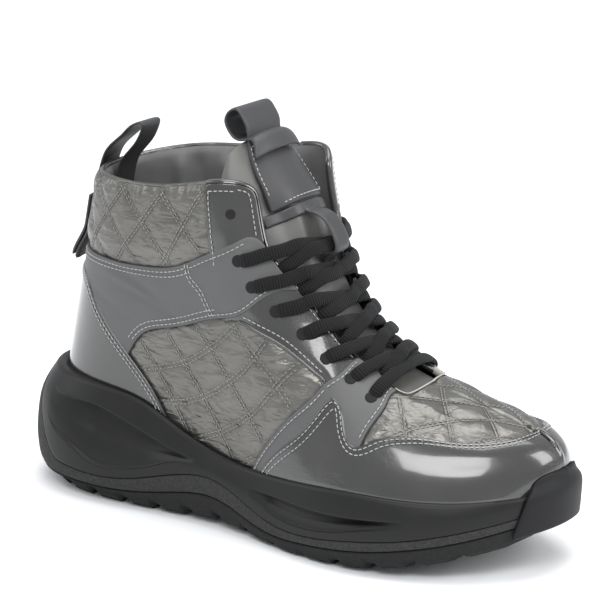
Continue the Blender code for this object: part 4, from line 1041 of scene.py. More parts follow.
def quilt_field(s, v):
    """Numbers of the seams crossed so far, and the spacing of the seams in mm."""
    zone = zone_of(s, v)
    f = fold(s)
    number = np.zeros((*f.shape, 3))
    pitch = np.zeros((*f.shape, 3))
    for z, lattice in enumerate(QUILTS.values()):
        step = np.linalg.inv(lattice[1:].T)
        q = np.stack([f, v], -1) - lattice[0]
        ij = q @ step.T
        a, b = lattice[1:] * PLANE
        area = abs(a[0] * b[1] - a[1] * b[0]) * 1000
        here = zone == z
        number[..., 0] = np.where(here, ij[..., 0], number[..., 0])
        number[..., 1] = np.where(here, ij[..., 1], number[..., 1])
        pitch[..., 0] = np.where(here, area / np.linalg.norm(b), pitch[..., 0])
        pitch[..., 1] = np.where(here, area / np.linalg.norm(a), pitch[..., 1])
    return number, pitch


def covered_by(q):
    """How far a pattern point lies under any panel, in metres; minus is the free distance."""
    best = np.full(len(q), -1.0)
    for part in PANELS.values():
        best = np.maximum(best, inside_by(q, part["loop"]))
    return best


def puff(s, v):
    """Height of the quilting: cushions between seams, flat at panels, sunk under them."""
    number, pitch = quilt_field(s, v)
    d = np.abs(number[..., :2] - np.round(number[..., :2])) * pitch[..., :2]
    d = d.min(axis=-1)
    hill = (1 - np.exp(-(d / 4.5) ** 2)) * PUFF
    q = np.column_stack([fold(s).ravel(), v.ravel()])
    free = -covered_by(q).reshape(s.shape)
    hill = hill * ease(free / 0.0065) * ease((v + 0.01) / 0.10) * ease((1.03 - v) / 0.10)
    sunk = -0.0009 * ease(-free / 0.0015)
    return hill + np.where(free < 0, sunk, 0), free


# %% Quilted skin over the whole form
def top_of(s):
    """Upper end of the skin: the collar edge, the throat edge, or the instep ridge."""
    f = fold(s)
    v = np.interp(f, throat_line[:, 0], throat_line[:, 1] - 0.012)
    return np.where((f < THROAT[0, 0]) | (f > THROAT[-1, 0]), 1.0, v)


def make_skin():
    """Grid around the foot and up the wall: form plus collar padding, cushions and creases."""
    around = np.linspace(0, 1, 681)[:-1]
    up = np.linspace(0, 1, 127)
    s, t = np.meshgrid(around, up, indexing="ij")
    v = BELOW + t * (top_of(s) - BELOW)
    lift, free = puff(s, v)
    rim_pucker = np.sin(s * 600 / 4.6 * 2 * math.pi + 2.2 * np.sin(s * 190)) * np.exp(-((1 - v) / 0.07) ** 2)
    lift = lift + 0.00022 * rim_pucker * (fold(s) < 0.215)
    lift = lift + 0.35 * cuff_pad(s, v) + creases(s, v) * ease((free + 0.002) / 0.003)
    p = last(s, v) + facing(s, v) * lift[..., None]
    number, pitch = quilt_field(s, v)
    # third part of the quilt field: painted shade, 0.55 under a panel and fading out 1.2 mm from its edge
    number[..., 2] = np.clip(1 - free / 0.0012, 0, 1) * 0.55
    return add_piece("quilted_skin", p, grid_faces(*s.shape, wrap_m=True), NYLON, "grey_leather",
                     ["upper"], {"quilt": number.reshape(-1, 3), "pitch": pitch.reshape(-1, 3)},
                     uv=np.stack([s * 600, v * 110], -1))


make_skin()


# %% Panels laid on the skin
EDGE_ROUND = 0.0007


def make_panel(name, part):
    """Triangulated pattern, lifted by its height in a quarter round from its true edges."""
    q, tris = filled(part["loop"], 0.0016)
    d = line_distance(q, part["edges"])
    rise = np.sqrt(np.clip(1 - (1 - np.clip(d / EDGE_ROUND, 0, 1)) ** 2, 0, 1))
    sewn = -0.00022 * np.exp(-((d - 0.0024) / 0.0009) ** 2)
    lift = 0.35 * cuff_pad(q[:, 0], q[:, 1]) + part["height"] * rise - 0.0003 * (1 - rise) + sewn
    lift = lift + creases(q[:, 0], q[:, 1]) * ease(d / 0.004) * 0.9
    points = []
    faces = []
    for turn in (False, True):
        s = 1 - q[:, 0] if turn else q[:, 0]
        points.append(last(s, q[:, 1]) + facing(s, q[:, 1]) * lift[:, None])
        faces.append((tris[:, ::-1] if turn else tris) + (len(q) if turn else 0))
    # rim: distance from the true edges in mm, which the leather paints turn into painted shade along the edge
    rim = np.concatenate([d, d]) * 1000
    return add_piece(name, np.vstack(points), np.vstack(faces), part["paint"], part["slot"],
                     fields={"rim": rim}, merge=True)


for name, part in PANELS.items():
    make_panel(name, part)


# %% [markdown]
# ## Edges of the opening
# A rolled edge closes the wall all round the collar and the throat. It is half a circle swept along the
# edge, from the outer face over to the lining.

# %% Rolled edges
def edge_roll(name, path, outer, inner, paint, slot, rows=9, bulge=1.0):
    """Half round from lift outer to lift minus inner, carried along a path on the pattern."""
    s = path[:, 0]
    v = path[:, 1]
    p = last(s, v)
    n = facing(s, v)
    along = np.gradient(p, axis=0)
    along /= np.linalg.norm(along, axis=1)[:, None]
    over = np.cross(n, along)
    over /= np.linalg.norm(over, axis=1)[:, None]
    inside = last(s, v - 0.05) - p
    over *= -np.sign(np.sum(over * inside, axis=1))[:, None]
    turn = np.linspace(0, math.pi, rows)
    middle = (outer - inner) / 2
    half = (outer + inner) / 2
    grid = (p[:, None] + n[:, None] * (middle + half * np.cos(turn))[..., None]
            + over[:, None] * (half * bulge * np.sin(turn))[..., None])
    # a rim of 0.6 mm keeps the rolled edge out of the painted edge shade
    rim = np.full(grid.shape[:2], 0.6)
    return add_piece(name, grid, grid_faces(*grid.shape[:2]), paint, slot, fields={"rim": rim.ravel()},
                     uv=np.stack([s[:, None] * 600 + 0 * turn, s[:, None] * 0 + turn * half * 1000], -1))


def both_ways(path):
    """A path from the heel side forward, and its mirror image, as one line around the heel."""
    back = path.copy()
    back[:, 0] = 1 - back[:, 0]
    return path, back


collar_path = np.column_stack([np.linspace(-0.2135, 0.2135, 420), np.ones(420)])
pad_here = cuff_pad(collar_path[:, 0], collar_path[:, 1])
collar_roll = edge_roll("collar_roll", collar_path, (0.35 * pad_here)[:, None],
                        (WALL + 0.65 * pad_here)[:, None], NYLON, "grey_leather", 11, 0.9)
for word, side in zip(("outer", "inner"), both_ways(np.vstack([
        np.column_stack([np.linspace(0.2115, 0.2375, 30), np.ones(30)]), throat_part(0.2381, 0.2620)]))):
    edge_roll("flap_edge_" + word, side, 0.0009, WALL, PATENT, "grey_leather")
for word, side in zip(("outer", "inner"), both_ways(throat_part(0.2615, 0.3735))):
    edge_roll("eyestay_edge_" + word, side, 0.0008, WALL, PATENT, "grey_leather")
vamp_edge = throat_part(0.3725, 0.4060)
vamp_edge = np.vstack([vamp_edge, np.column_stack([1 - vamp_edge[:, 0], vamp_edge[:, 1]])[::-1][1:]])


# %% Lining
# fold lines of the lining behind the heel: s, half width in s, depth in mm
LINING_FOLDS = np.array([
    [0.800, 0.010, 1.9], [0.835, 0.007, -1.4], [0.862, 0.008, 2.2], [0.893, 0.007, -1.3], [0.915, 0.009, 1.8],
    [0.150, 0.010, 1.2], [0.100, 0.008, -1.2], [0.055, 0.009, 1.4], [0.190, 0.008, -0.9],
])


def make_lining():
    """Inner wall: form minus wall and padding, with slack folds under the collar edge."""
    around = np.linspace(0, 1, 361)[:-1]
    s, t = np.meshgrid(around, np.linspace(0, 1, 61), indexing="ij")
    f = fold(s)
    top = np.where((f < THROAT[0, 0]) | (f > THROAT[-1, 0]), 1.0,
                   np.interp(f, throat_line[:, 0], throat_line[:, 1]))
    v = top + t * (-0.19 - top)
    deep = WALL + 0.65 * cuff_pad(s, v)
    slack = np.zeros(s.shape)
    for at, wide, depth in LINING_FOLDS:
        slack += depth * MM * np.exp(-((s + (1 - v) * 0.02 - at) / wide) ** 2)
    deep = deep + slack * ease((1 - v) / 0.10) * ease((v - 0.25) / 0.3)
    p = last(s, v) - facing(s, v) * deep[..., None]
    return add_piece("lining", p, grid_faces(*s.shape, wrap_m=True, flip=False), LINING, "insole_fabric")


make_lining()


# %% [markdown]
# ## Stitches
# Each stitch is a short rounded bar of thread that dips into the hide at both ends. Thousands of them
# are needed, so one stitch has only four rings of five points and they are all made in one array.

# %% Stitch rows
STITCH = {"seam": [], "quilt": []}


def offset_line(path, by):
    """The path moved sideways on the pattern, to its left for plus."""
    a = path * PLANE
    t = np.gradient(a, axis=0)
    n = np.stack([-t[:, 1], t[:, 0]], 1)
    n /= np.maximum(np.linalg.norm(n, axis=1)[:, None], 1e-9)
    return (a + n * by) / PLANE


def sew(kind, path, lift, pitch=0.0026, long=0.0019, both=True, keep=None):
    """Places stitches every pitch metres along a path that lies lift above the form."""
    for turn in ((False, True) if both else (False,)):
        s = 1 - path[:, 0] if turn else path[:, 0]
        v = path[:, 1]
        n = facing(s, v)
        high = lift(path) if callable(lift) else np.full(len(path), lift)
        p = last(s, v) + n * (high + 0.35 * cuff_pad(s, v) + creases(s, v) * 0.8)[:, None]
        run = np.append(0, np.cumsum(np.linalg.norm(np.diff(p, axis=0), axis=1)))
        at = np.arange(pitch / 2, run[-1] - pitch / 2, pitch)
        if len(at) == 0:
            continue
        spot = np.stack([np.interp(at, run, p[:, k]) for k in range(3)], 1)
        ahead = np.stack([np.interp(at + 0.0006, run, p[:, k]) for k in range(3)], 1)
        out = np.stack([np.interp(at, run, n[:, k]) for k in range(3)], 1)
        if keep is not None:
            ok = np.interp(at, run, keep.astype(float)) > 0.99
            spot, ahead, out = spot[ok], ahead[ok], out[ok]
        way = ahead - spot
        way /= np.maximum(np.linalg.norm(way, axis=1)[:, None], 1e-9)
        STITCH[kind].append(np.stack([spot, way * long / 2, out], 1))


# share of the half length, height over the leather, share of the width
STITCH_RINGS = ((-1.0, -0.00022, 0.5), (-0.55, 0.00010, 1.0), (0.55, 0.00010, 1.0), (1.0, -0.00022, 0.5))


def make_stitches(kind, name, paint, width, slot="grey_leather"):
    """All stitches of a kind as one mesh: rings along the way, sunk at the ends."""
    rows = np.concatenate(STITCH[kind])
    spot, way, out = rows[:, 0], rows[:, 1], rows[:, 2]
    side = np.cross(out, way)
    side /= np.maximum(np.linalg.norm(side, axis=1)[:, None], 1e-9)
    turn = np.arange(5) * 2 * math.pi / 5
    rings = []
    for a, high, size in STITCH_RINGS:
        centre = spot + way * a + out * high
        ring = (centre[:, None] + side[:, None] * (np.cos(turn) * width * size)[:, None]
                + out[:, None] * (np.sin(turn) * width * 0.75 * size)[:, None])
        rings.append(ring)
    points = np.stack(rings, 1)
    block = grid_faces(4, 5, wrap_n=True, flip=True)
    faces = (block[None] + (np.arange(len(rows)) * 20)[:, None, None]).reshape(-1, 4)
    caps = np.concatenate([np.arange(5)[None], np.arange(19, 14, -1)[None]])
    caps = (caps[None] + (np.arange(len(rows)) * 20)[:, None, None]).reshape(-1, 5)
    return add_piece(name, points, faces.tolist() + caps.tolist(), paint, slot)


# %% Seams of the panels: line, offset from the edge in mm, panel height
def trimmed(path, low, high):
    """The part of a line between two places s."""
    return path[(path[:, 0] >= low) & (path[:, 0] <= high)]


TOP = 0.0002
SEAM_ROWS = [
    (trimmed(collar_line, 0.0, 0.188), -2.0, 0.0012), (trimmed(collar_line, 0.0, 0.188), -4.2, 0.0012),
    (trimmed(collar_line, 0.188, 0.252), -2.6, 0.0012),
    (trimmed(strap_foot, 0.118, 0.262), -1.8, 0.0012), (trimmed(strap_foot, 0.118, 0.215), -3.8, 0.0012),
    (strap_seam, 0.3, 0.0012), (strap_seam, 2.3, 0.0012),
    (trimmed(counter_top, 0.004, 0.150), -1.9, 0.0016), (trimmed(counter_top, 0.004, 0.150), -3.9, 0.0016),
    (trimmed(eyestay_foot, 0.238, 0.304), 2.2, 0.0006),
    (star_top, -1.8, 0.0012), (star_front[2:-8], -1.8, 0.0012), (star_rear[8:], -1.8, 0.0012),
    (mud_top[8:], -1.7, 0.0016), (mud_top[8:], -4.0, 0.0016),
    (flap_rear[3:], 2.4, 0.0010), (throat_part(0.2385, 0.2600), -2.6, 0.0010),
    (straight((0.2150, 0.968), (0.2400, 0.968)), 0.0, 0.0010),
    (throat_part(0.2830, 0.3400), -2.2, 0.0006),
]
for path, by, height in SEAM_ROWS:
    sew("seam", offset_line(path, by * MM), height + TOP)
print("seam stitches:", sum(len(r) for r in STITCH["seam"]))


# %% Seams of the quilting
def quilt_height(path):
    s = path[:, 0]
    return puff(s, path[:, 1])[0] + 0.00012


for z, lattice in enumerate(QUILTS.values()):
    for along, across in ((lattice[1], lattice[2]), (lattice[2], lattice[1])):
        for number in range(-8, 9):
            t = np.linspace(-6, 6, 900)[:, None]
            line = lattice[0] + across * number + along * t
            ok = (line[:, 0] > 0.0) & (line[:, 0] < 0.5) & (line[:, 1] > 0.01) & (line[:, 1] < 0.985)
            line = line[ok]
            if len(line) < 12:
                continue
            shown = (covered_by(line) < -0.0012) & (zone_of(line[:, 0], line[:, 1]) == z)
            shown &= (line[:, 1] < top_of(line[:, 0]) - 0.02)
            if shown.sum() < 12:
                continue
            first, final = np.flatnonzero(shown)[[0, -1]]
            for by in (-0.8, 0.8):
                sew("quilt", offset_line(line, by * MM)[first:final + 1], quilt_height, 0.0024, 0.0016,
                    keep=shown[first:final + 1])
print("quilt stitches:", sum(len(r) for r in STITCH["quilt"]))


# %% [markdown]
# ## Piping and fleece
# The lower edge of the patent eyestay is turned over a cord and catches the light as a bright line. At
# the foot of the throat the cut edge shows a pale brushed backing.

# %% Tube carried along a path
def tube(path, radius, around=10, flat=1.0, ups=None):
    """Round or flattened section carried along a path of points, closed at both ends."""
    run = np.gradient(path, axis=0)
    run /= np.linalg.norm(run, axis=1)[:, None]
    up = np.array(ups) if ups is not None else np.tile([0, 0, 1.0], (len(path), 1))
    wide = np.cross(run, up)
    wide /= np.maximum(np.linalg.norm(wide, axis=1)[:, None], 1e-9)
    high = np.cross(wide, run)
    turn = np.arange(around) * 2 * math.pi / around
    end = np.ones(len(path))
    end[0] = end[-1] = 0.05
    end[1] = end[-2] = 0.75
    r = np.broadcast_to(radius, (len(path),)) * end
    c = np.sign(np.cos(turn)) * np.abs(np.cos(turn)) ** 0.85
    d = np.sign(np.sin(turn)) * np.abs(np.sin(turn)) ** 0.85
    grid = (path[:, None] + wide[:, None] * (r[:, None] * c)[..., None]
            + high[:, None] * (r[:, None] * d * flat)[..., None])
    length = np.append(0, np.cumsum(np.linalg.norm(np.diff(path, axis=0), axis=1)))
    uv = np.stack(np.broadcast_arrays(r[:, None] * c, length[:, None]), -1)
    faces = grid_faces(*grid.shape[:2], wrap_n=True).tolist()
    faces.append(list(range(around))[::-1])
    faces.append(list(range(grid.shape[0] * around - around, grid.shape[0] * around)))
    return grid, faces, uv


def on_form(path, lift, turn=False):
    """Pattern line as points lift above the form, on the outer or the inner side."""
    s = 1 - path[:, 0] if turn else path[:, 0]
    n = facing(s, path[:, 1])
    return last(s, path[:, 1]) + n * np.broadcast_to(lift, (len(path),))[:, None], n


for word, turn in (("outer", False), ("inner", True)):
    p, n = on_form(trimmed(eyestay_foot, 0.233, 0.3055), 0.0006, turn)
    grid, faces, uv = tube(p, 0.0009, 10, 1.0, n)
    # a rim of 0.6 mm keeps the piping out of the painted edge shade
    add_piece("eyestay_piping_" + word, grid, faces, PATENT, "grey_leather",
              fields={"rim": np.full(grid.shape[0] * 10, 0.6)})

edge_roll("fleece_edge", vamp_edge, 0.0012, WALL, FLEECE, "insole_fabric", 9, 0.9)


# %% [markdown]
# ## Tongue
# The tongue is a padded arch that lies under the eyestay and rises above the collar. Its face follows a
# row of centre points; where the quarters cover it, it is pressed down below them.

# %% Tongue surface
TONGUE_ARCH = math.radians(72)


def tongue_face(along, across):
    """Arched cross section of sine and cosine, carried along the centre line."""
    rows = TONGUE_ROWS
    k = np.append(0.0, np.cumsum(np.linalg.norm(np.diff(rows[:, :2], axis=0), axis=1)))
    k /= k[-1]
    at = along.ravel()
    r = open_curve(k, rows, at)
    run = open_curve(k, rows, at + 1e-3) - open_curve(k, rows, at - 1e-3)
    tangent = run[:, :2] / np.linalg.norm(run[:, :2], axis=1)[:, None]
    normal = np.stack([tangent[:, 1], -tangent[:, 0]], 1)
    a = TONGUE_ARCH * across.ravel()
    y = r[:, 2] * np.sin(a) / math.sin(TONGUE_ARCH)
    drop = r[:, 3] * (1 - np.cos(a)) / (1 - math.cos(TONGUE_ARCH))
    x = r[:, 0] - normal[:, 0] * drop
    z = r[:, 1] - normal[:, 1] * drop
    return np.column_stack([x, y + 0.035 * r[:, 0].clip(0, 1), z]).reshape(*along.shape, 3)


def form_tree():
    fs, fv = np.meshgrid(np.linspace(0, 1, 121)[:-1], np.linspace(-TUCK, 1, 25), indexing="ij")
    faces = grid_faces(*fs.shape, wrap_m=True)
    return BVHTree.FromPolygons([Vector(q) for q in last(fs, fv).reshape(-1, 3)], faces.tolist())


FORM = form_tree()


def above_form(p):
    loc, n = FORM.find_nearest(Vector(p))[:2]
    out = np.array(n)
    return float((np.array(p) - np.array(loc)) @ out), out, np.array(loc)


def tongue_at(along, across):
    """The face pushed under the form where the quarters lie over it."""
    p = tongue_face(along, across)
    flat = p.reshape(-1, 3)
    u = np.abs(across).ravel()
    w = along.ravel()
    middle = (1 - ease((u - 0.18) / 0.22)) * ease((w - 0.16) / 0.12)
    most = -(WALL + 0.0018) * (1 - middle) - 0.0004 * middle
    found = [above_form(q) for q in flat]
    height = np.array([f[0] for f in found])
    out = np.array([f[1] for f in found])
    flat -= out * np.maximum(height - most, 0)[:, None]
    return flat.reshape(p.shape)


coarse_up = np.linspace(0, 1, 41)
coarse_side = np.linspace(-1, 1, 25)
TONGUE_MAP = tongue_at(*np.meshgrid(coarse_up, coarse_side, indexing="ij"))


def tongue_grid(up, side, lift=0.0):
    """Points of the tongue's face on a grid of shares, raised by lift."""
    m, n = TONGUE_MAP.shape[:2]
    rows = open_curve(coarse_up, TONGUE_MAP.reshape(m, -1), up).reshape(len(up), n, 3)
    rows = rows.transpose(1, 0, 2).reshape(n, -1)
    p = open_curve(coarse_side, rows, side).reshape(len(side), len(up), 3).transpose(1, 0, 2)
    out = -grid_normals(p)
    return p + out * np.broadcast_to(lift, p.shape[:2])[..., None], out


def make_tongue():
    """Front and back faces whose distance falls to nothing at the rounded border."""
    up = np.linspace(0, 1, 150)
    side = np.linspace(-1, 1, 90)
    gi, gj = np.meshgrid(up, side, indexing="ij")
    edge = np.clip((1 - np.abs(gj)) / 0.16, 0, 1)
    ends = np.clip(np.minimum(gi, 1 - gi) / 0.05, 0, 1)
    body = TONGUE * np.sqrt(np.clip(1 - (1 - edge * ends) ** 2, 0, 1))
    wave = 0.0004 * np.sin(gi * 46 + 2 * gj) * np.exp(-((np.abs(gj) - 0.7) / 0.25) ** 2)
    front, out = tongue_grid(up, side, -0.0006 + 0.0006 * edge * ends + wave * edge * ends)
    back = front - out * body[..., None]
    points = np.concatenate([front.reshape(-1, 3), back.reshape(-1, 3)])
    faces = np.vstack([grid_faces(150, 90, flip=True), grid_faces(150, 90) + 150 * 90])
    # a rim of 2 mm keeps the tongue out of the painted edge shade
    rim = np.full(len(points), 2.0)
    return add_piece("tongue_pad", points, faces, TONGUE_SKIN, "tongue_fabric", ["tongue"],
                     {"rim": rim}, merge=True)


tongue_piece = make_tongue()

# %% [markdown]
# ## Patch, pull loop and keeper of the tongue
# A strip of leather is sewn up the front of the tongue, folded over above its edge as a loop, and sewn
# down again behind. Below it a narrow keeper holds the top laces in place.

# %% Patch and pull loop
# height over the tongue's edge in metres and how far forward, in steps of 2.5 mm
PULL_FOLD = (
    (0.0060, 0.6), (0.0120, 0.9), (0.0165, 0.6), (0.0180, -0.9), (0.0165, -2.7), (0.0120, -3.3),
    (0.0060, -2.8),
)
PATCH_HALF = 0.50
PATCH_LOW = 0.775


def tongue_rows(up, side, lift):
    p, out = tongue_grid(np.clip(np.asarray(up, float), 0, 1), side)
    return p + out * lift, out


def make_pull_loop():
    across = np.linspace(-PATCH_HALF, PATCH_HALF, 5)
    front, out = tongue_rows(np.linspace(PATCH_LOW, 0.985, 7), across, GAP + WEBBING / 2 + 0.0003)
    top = front[-1]
    flat = (front[-1] - front[-2]).mean(axis=0)
    flat /= np.linalg.norm(flat)
    away = out[-1].mean(axis=0)
    away[1] = 0
    away /= np.linalg.norm(away)
    half = (top[-1, 1] - top[0, 1]) / 2
    centre = top.mean(axis=0)
    rows = list(front)
    for h, off in PULL_FOLD:
        blend = ease(h / 0.008)
        c = np.linspace(-1, 1, 5)[:, None]
        base = top * (1 - blend) + (centre + np.array([0, 1.0, 0]) * c * half) * blend
        rows.append(base + flat * h + away * (off + 0.4) * 0.0025)
    back, out = tongue_rows([0.985, 0.93], across, -(TONGUE + GAP + WEBBING / 2 + 0.0004))
    rows += list(back)
    fine = refined(np.array(rows), 120, 24)
    return strip("pull_loop", fine, WEBBING, TAPE, "strap_leather", ["tongue_pull_loop"])


make_pull_loop()

# keeper: place along the tongue, distance off it
KEEPER = np.array([
    [0.762, 0.0000], [0.748, 0.0000], [0.730, 0.0036], [0.705, 0.0080], [0.670, 0.0100], [0.640, 0.0105],
    [0.618, 0.0100], [0.604, 0.0070], [0.598, 0.0010], [0.586, 0.0000],
])
keeper_side = np.linspace(-0.13, 0.13, 3)
keeper_rows = []
for a, off in KEEPER:
    near = np.array([a - 0.01, a, a + 0.01])
    keeper_rows.append(tongue_grid(near, keeper_side, GAP + 0.0010 + off)[0][1])
strip("keeper_strip", refined(np.array(keeper_rows), 60, 9), 0.0013, MATT, "strap_leather", ["lace_keeper"])

# folded band across the tongue under the patch
band, out = tongue_rows(np.linspace(0.735, 0.772, 9), np.linspace(-0.62, 0.62, 60), 0.0009)
strip("tongue_band", band, 0.0014, TONGUE_SKIN, "tongue_fabric")


# %% Stitches of the tongue
def sew_points(kind, p, out, pitch=0.0026, long=0.0019):
    """Stitches along a line of points in space."""
    run = np.append(0, np.cumsum(np.linalg.norm(np.diff(p, axis=0), axis=1)))
    at = np.arange(pitch / 2, run[-1] - pitch / 2, pitch)
    spot = np.stack([np.interp(at, run, p[:, k]) for k in range(3)], 1)
    ahead = np.stack([np.interp(at + 0.0006, run, p[:, k]) for k in range(3)], 1)
    normal = np.stack([np.interp(at, run, out[:, k]) for k in range(3)], 1)
    way = ahead - spot
    way /= np.linalg.norm(way, axis=1)[:, None]
    STITCH[kind].append(np.stack([spot, way * long / 2, normal], 1))


patch_top = GAP + WEBBING + 0.0003 + 0.0002
for side_share in (-PATCH_HALF + 0.055, PATCH_HALF - 0.055):
    near = np.array([side_share - 0.02, side_share, side_share + 0.02])
    p, out = tongue_rows(np.linspace(PATCH_LOW + 0.012, 0.975, 60), near, patch_top)
    sew_points("seam", p[:, 1], out[:, 1])
for up_share in (PATCH_LOW + 0.014, 0.972):
    near = np.array([up_share - 0.01, up_share, up_share + 0.01])
    p, out = tongue_rows(near, np.linspace(-PATCH_HALF + 0.06, PATCH_HALF - 0.06, 60), patch_top)
    sew_points("seam", p[1], out[1])
make_stitches("seam", "seam_stitches", THREAD, 0.00027)
make_stitches("quilt", "quilt_stitches", QUILT_THREAD, 0.00022)


# %% [markdown]
# ## Laces
# A flat knitted lace crosses the throat seven times. It comes up out of a punched hole, lies on the
# leather, passes over the tongue and dives under the opposite edge one row further down; the strand
# from the inner hole lies on top where two cross. A bar joins the two lowest holes.

# %% Lace strands
SIDES = ((False, True), (True, False))


def lace_strand(a, b, lifts, count=64):
    """Chord from a to b, laid on the form and lifted by a smooth profile along its length."""
    t = np.linspace(0, 1, 15)
    chord = a * (1 - t[:, None]) + b * t[:, None]
    found = [above_form(q) for q in chord]
    base = np.array([f[2] for f in found])
    out = np.array([f[1] for f in found])
    lift = np.interp(t, lifts[:, 0], lifts[:, 1])
    points = open_curve(t, base + out * lift[:, None], np.linspace(0, 1, count))
    ups = open_curve(t, out, np.linspace(0, 1, count))
    return points, ups / np.linalg.norm(ups, axis=1)[:, None]


def place_on(q, turn, lift=0.0):
    s = np.array([1 - q[0] if turn else q[0]])
    v = np.array([q[1]])
    return (last(s, v) + facing(s, v) * lift)[0]


lace_parts = []
ON_TOP = 0.0012 + LACE_THICK / 2 + 0.0003
for k in range(len(HOLES)):
    for turn, other in SIDES:
        if k == len(HOLES) - 1:
            if turn:
                continue
            a = place_on(HOLES[k], False)
            b = place_on(HOLES[k], True)
            lifts = np.array([[0.0, -0.0020], [0.06, 0.0016], [0.14, ON_TOP], [0.5, ON_TOP + 0.0012],
                              [0.86, ON_TOP], [0.94, 0.0016], [1.0, -0.0020]])
        else:
            a = place_on(HOLES[k], turn)
            b = place_on(EDGES[k + 1] - np.array([0.0015, 0.012]), other)
            over = 0.0028 if turn else 0.0
            lifts = np.array([[0.0, -0.0020], [0.06, 0.0018], [0.15, ON_TOP],
                              [0.42, ON_TOP + 0.0010 + over * 0.8],
                              [0.62, ON_TOP + 0.0010 + over], [0.84, ON_TOP + 0.0006], [0.93, 0.0012],
                              [1.0, -0.0026]])
        points, ups = lace_strand(a, b, lifts)
        lace_parts.append(tube(points, LACE_WIDTH / 2, 16, LACE_THICK / LACE_WIDTH, ups))

lace_length = sum(u[-1, 0, 1] for g, f, u in lace_parts)
print("visible lace, mm:", round(lace_length * 1000), "in", len(lace_parts), "strands")
points = np.concatenate([g.reshape(-1, 3) for g, f, u in lace_parts])
uvs = np.concatenate([u.reshape(-1, 2) for g, f, u in lace_parts])
faces = []
count = 0
for g, f, u in lace_parts:
    faces += [[i + count for i in face] for face in f]
    count += g.shape[0] * g.shape[1]
add_piece("lacing", points, faces, LACE, "lace_fabric", ["laces"], uv=uvs)


# %% Punched holes
def make_holes():
    """Dark disc with a pressed rim around each hole, painted as the shade inside the hole: rings of growing
    radius and changing height.
    """
    turn = np.arange(20) * 2 * math.pi / 20
    radii = np.array([0.0, 0.5, 0.82, 1.0, 1.28])
    highs = np.array([-0.0001, 0.00005, 0.00012, 0.0002, -0.0001])
    points = []
    for q, size, panel in [(h, 0.0023, 0.0012) for h in HOLES] + [(SPARE_HOLE, 0.0019, 0.0010)]:
        for other in (False, True):
            s = np.array([1 - q[0] if other else q[0]])
            v = np.array([q[1]])
            p = last(s, v)[0]
            n = facing(s, v)[0]
            a = np.cross(n, [0, 0, 1.0])
            a /= np.linalg.norm(a)
            b = np.cross(n, a)
            centre = p + n * (panel + 0.35 * cuff_pad(s, v)[0] + 0.00015)
            circle = np.cos(turn)[None, :, None] * a + np.sin(turn)[None, :, None] * b
            points.append(centre + circle * (radii * size)[:, None, None] + n * highs[:, None, None])
    points = np.array(points)
    block = grid_faces(5, 20, wrap_n=True)
    faces = (block[None] + (np.arange(len(points)) * 100)[:, None, None]).reshape(-1, 4)
    return add_piece("punched_holes", points, faces, HOLE_SHADE, "grey_leather", merge=True)


make_holes()


# %% [markdown]
# ## Heel loop and heel tab
# At the back a strip of leather goes over the collar edge and stands up as a loop, and below it a leather
# tab lies over a brushed black pad. Both are thin sheets swept along a line in the middle plane.

# %% Heel loop
HEEL_HALF = 0.0080
HEEL_FOLD = (
    (-0.0030, 0.0005), (-0.0004, 0.0060), (0.0090, 0.0150), (0.0170, 0.0215), (0.0208, 0.0220),
    (0.0202, 0.0180), (0.0145, 0.0090), (0.0088, 0.0020),
)


def make_heel_loop():
    pad = 0.35 * COLLAR_PAD
    inner = WALL + 0.65 * COLLAR_PAD
    top = last([0.0], [1.0])[0]
    rows = []
    for v in (0.845, 0.885, 0.93):
        p = last([0.0], [v])[0]
        rows.append((p[0] - pad - 0.0022, p[2]))
    rows += [(top[0] + forward, top[2] + up) for forward, up in HEEL_FOLD]
    for v in (0.95, 0.88):
        p = last([0.0], [v])[0]
        rows.append((p[0] + inner + 0.0022, p[2]))
    rows = np.array(rows)
    grid = np.array([[(x, w, z) for w in np.linspace(-HEEL_HALF, HEEL_HALF, 3)] for x, z in rows])
    return strip("heel_loop", refined(grid, 110, 17), 0.0013, TAPE, "strap_leather", ["heel_pull_loop"])


make_heel_loop()

# %% Heel tab
TAB_HALF = 0.0105


def tab_rows(near, low_v, high_v):
    """Rows down the heel that follow the form and stand off towards the lower end."""
    t, w = np.meshgrid(np.linspace(0, 1, 60), np.linspace(-TAB_HALF, TAB_HALF, 25), indexing="ij")
    v = high_v + (low_v - high_v) * t
    s = np.abs(w) / 0.27 * 0.5
    s = np.where(w < 0, s, 1 - s)
    p = last(s, v) + facing(s, v) * (near + 0.0050 * ease((t - 0.45) / 0.55))[..., None]
    p[..., 1] = w
    return p


strip("heel_tab_pile", tab_rows(0.35 * COLLAR_PAD + 0.0019, 0.475, 0.800), 0.0030, PILE,
      "pad_fabric", ["heel_tab_pad"])
strip("heel_tab_leather", tab_rows(0.35 * COLLAR_PAD + 0.0046, 0.485, 0.815), 0.0018, TAPE,
      "strap_leather", ["heel_tab"])


# %% [markdown]
# ## Sole
# Midsole, wedge and outsole are rings of the same outline at many heights. The side of the midsole is
# cut by two leaf shaped recesses, steep under their upper edge and running out to a crisp lower rim.

# %% Sole rings
COUNT = 720
RING_S = np.arange(COUNT) / COUNT
FOOT, OUT = plan(RING_S)
LEV = levels(FOOT[:, 0])
FLARES = open_curve(FLARE[:, 0], FLARE[:, 1:], fold(RING_S)) * BALL_WIDTH
ALONG = (FOOT[:, 0] + SHOE_LENGTH / 2) / SHOE_LENGTH
LIP, BED, LINE_A, LINE_B, LOW_EDGE = LEV.T[:5]
TAB = 1 - ease((fold(RING_S) - 0.022) / 0.040)
TAB_TOP = LINE_A + TAB * (LIP - 0.004 - LINE_A)
TAB_THICK = 0.0040
CUP = PANEL + 2 * GAP


